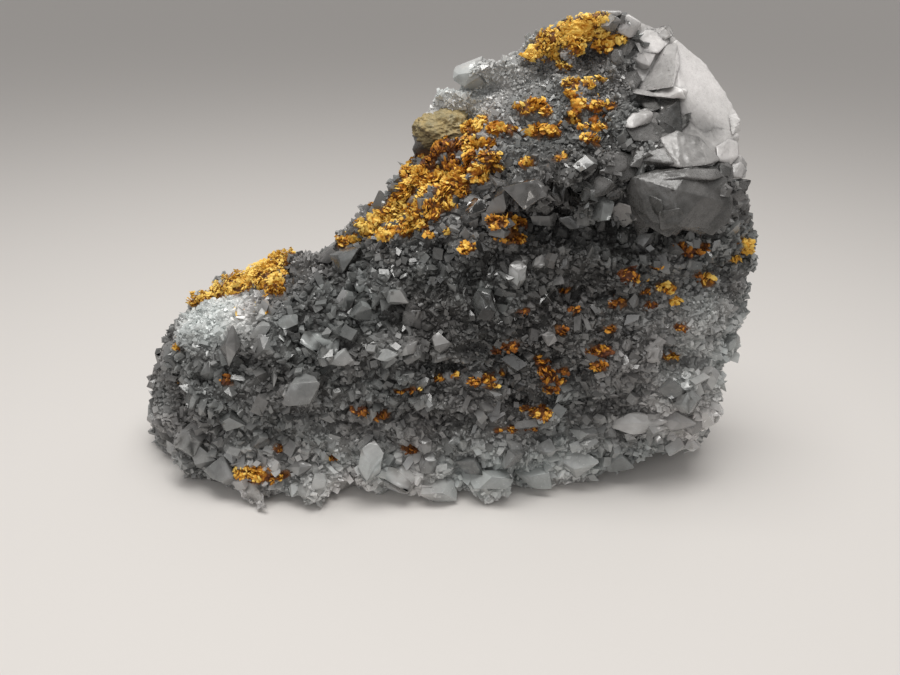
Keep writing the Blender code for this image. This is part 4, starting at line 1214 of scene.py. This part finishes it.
def calcite_finishes():
    """The finishes of calcite, from one shared group of nodes."""
    group = mineral_group()
    grain_look = {
        "Dark": (0.018, 0.017, 0.016, 1), "Light": (0.86, 0.84, 0.825, 1), "Drift": (0.77, 0.81, 0.80, 1),
        "Clouding": 0.2, "Frost": 0.06, "Smooth": 0.2, "Dull": 0.5,
    }
    smoky_look = {**grain_look, "Clouding": 0.45, "Smooth": 0.06, "Dull": 0.28, "Frost": 0.02}
    white_look = {
        "Dark": (0.04, 0.04, 0.037, 1), "Light": (0.80, 0.775, 0.765, 1), "Drift": (0.76, 0.74, 0.725, 1),
        "Clouding": 0.35, "Frost": 0.0, "Smooth": 0.22, "Dull": 0.5,
    }
    soft = {"IOR": 1.6, "Subsurface Scale": 1.0}
    return {
        "rock": rock_material(group),
        "grains": mineral_material(
            "calcite_grains", group, grain_look, 0.05,
            constants={**soft, "Subsurface Weight": 0.3, "Subsurface Radius": (0.002, 0.002, 0.002)},
        ),
        # Large crystals take the painted edge highlight and facet shade at 0.45.
        "large": mineral_material(
            "smoky_calcite", group, smoky_look, 0.05, 0.45, {"IOR": 1.6, "Transmission Weight": 0.45}
        ),
        "medium": mineral_material(
            "clear_calcite", group, {**smoky_look, "Clouding": 0.3}, 0.05,
            constants={"IOR": 1.6, "Transmission Weight": 0.35},
        ),
        "white": mineral_material(
            "white_calcite", group, white_look, 0.05,
            constants={**soft, "Subsurface Weight": 0.5, "Subsurface Radius": (0.006, 0.006, 0.006)},
        ),
        "smoky": mineral_material(
            "smoky_white_calcite", group, {**white_look, "Clouding": 0.25, "Smooth": 0.2, "Dull": 0.45}, 0.03,
            constants={"IOR": 1.55, "Transmission Weight": 0.4},
        ),
    }


def crystal_shapes():
    """The shapes of grit, grains, medium and large crystals."""
    grit = [grit_shape(seed) for seed in range(6)]
    grains = [block_shape(seed, (1, 2)) for seed in range(9)] + [tooth_shape(flat) for flat in (1.0, 0.5, 0.7)]
    medium = [block_shape(seed, (2, 3)) for seed in range(7)] + [nail_shape(1.3)]
    medium += [tooth_shape(flat) for flat in (1.0, 0.8, 0.6, 0.45)]
    large = [block_shape(seed, (7, 10), 1.75) for seed in range(20, 30)] + [nail_shape(0.8), nail_shape(1.4)]
    large += [tooth_shape(flat) for flat in (1.0, 0.8, 0.45, 0.6)]
    large = [worn(bm, seed) for seed, bm in enumerate(large)]
    return [[as_arrays(bm) for bm in group] for group in (grit, grains, medium, large)]


def add_grey_crystals(rock, out, tree, tone, patches, finishes, shapes):
    """The grey calcite: crystals that the picture shows, larger ones behind, and three sizes of grains between."""
    grit, grains, medium, large = shapes
    kinds, where, turns, halves, tones = set_crystals(tree, LARGE_CRYSTALS, GREY_SEED)
    behind = back_crystals(rock, out, tone, large, finishes["large"])
    held = [(place, half.mean(), 0) for place, half in zip(where, halves)]
    held += [(place, half, 0) for place, half in zip(*behind)]
    size = size_of_grains(rock, out, tree)
    druse("grit", rock, out, tone, size ** 0.5, patches, held, grit, finishes["grains"], GRIT)
    druse("grains", rock, out, tone, size, patches, held, grains, finishes["grains"], GRAINS)
    druse("crystals", rock, out, tone + 0.06, size, patches, held, medium, finishes["medium"], CRYSTALS)
    joined(
        "large_crystals", large, kinds, where, turns, halves, {"tone": tones}, finishes["large"],
        smooth=True,
    )


def main():
    bpy.context.scene.view_settings.view_transform = "Standard"
    add_camera()
    add_lights()
    add_floor()
    finishes = calcite_finishes()
    bare = copy_of_nodes("bare", [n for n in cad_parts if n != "white_calcite"])
    tree = surface_tree(bare)
    bpy.data.objects.remove(bare)
    patches = realgar_patches(tree)
    rock, out = add_rock(finishes["rock"], patches, spots(tree, RELIEF_ZONES))
    tree = surface_tree(rock)
    tone = tone_and_shade_of_rock(rock, tree)
    covered, _ = in_patches(read(rock.data), patches, 1.2)
    store(rock.data, "tone", np.clip(tone - 0.01, 0.02, 1))
    store(rock.data, "stain", np.clip(covered * 4, 0, 1))
    shapes = crystal_shapes()
    add_grey_crystals(rock, out, tree, tone, patches, finishes, shapes)

    realgar = realgar_material()
    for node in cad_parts:
        if node.startswith("realgar"):
            realgar_crust(node, patches, realgar)
    plates = [as_arrays(plate_shape(seed)) for seed in range(10)]
    chips = [as_arrays(grit_shape(seed, 1.15, (1, 0.8, 0.5))) for seed in range(8)]
    realgar_scatter(rock, out, patches, plates, chips, realgar)
    add_lump(lump_material())
    add_white_crystals(rock, finishes["white"], finishes["smoky"], shapes[-1])


main()
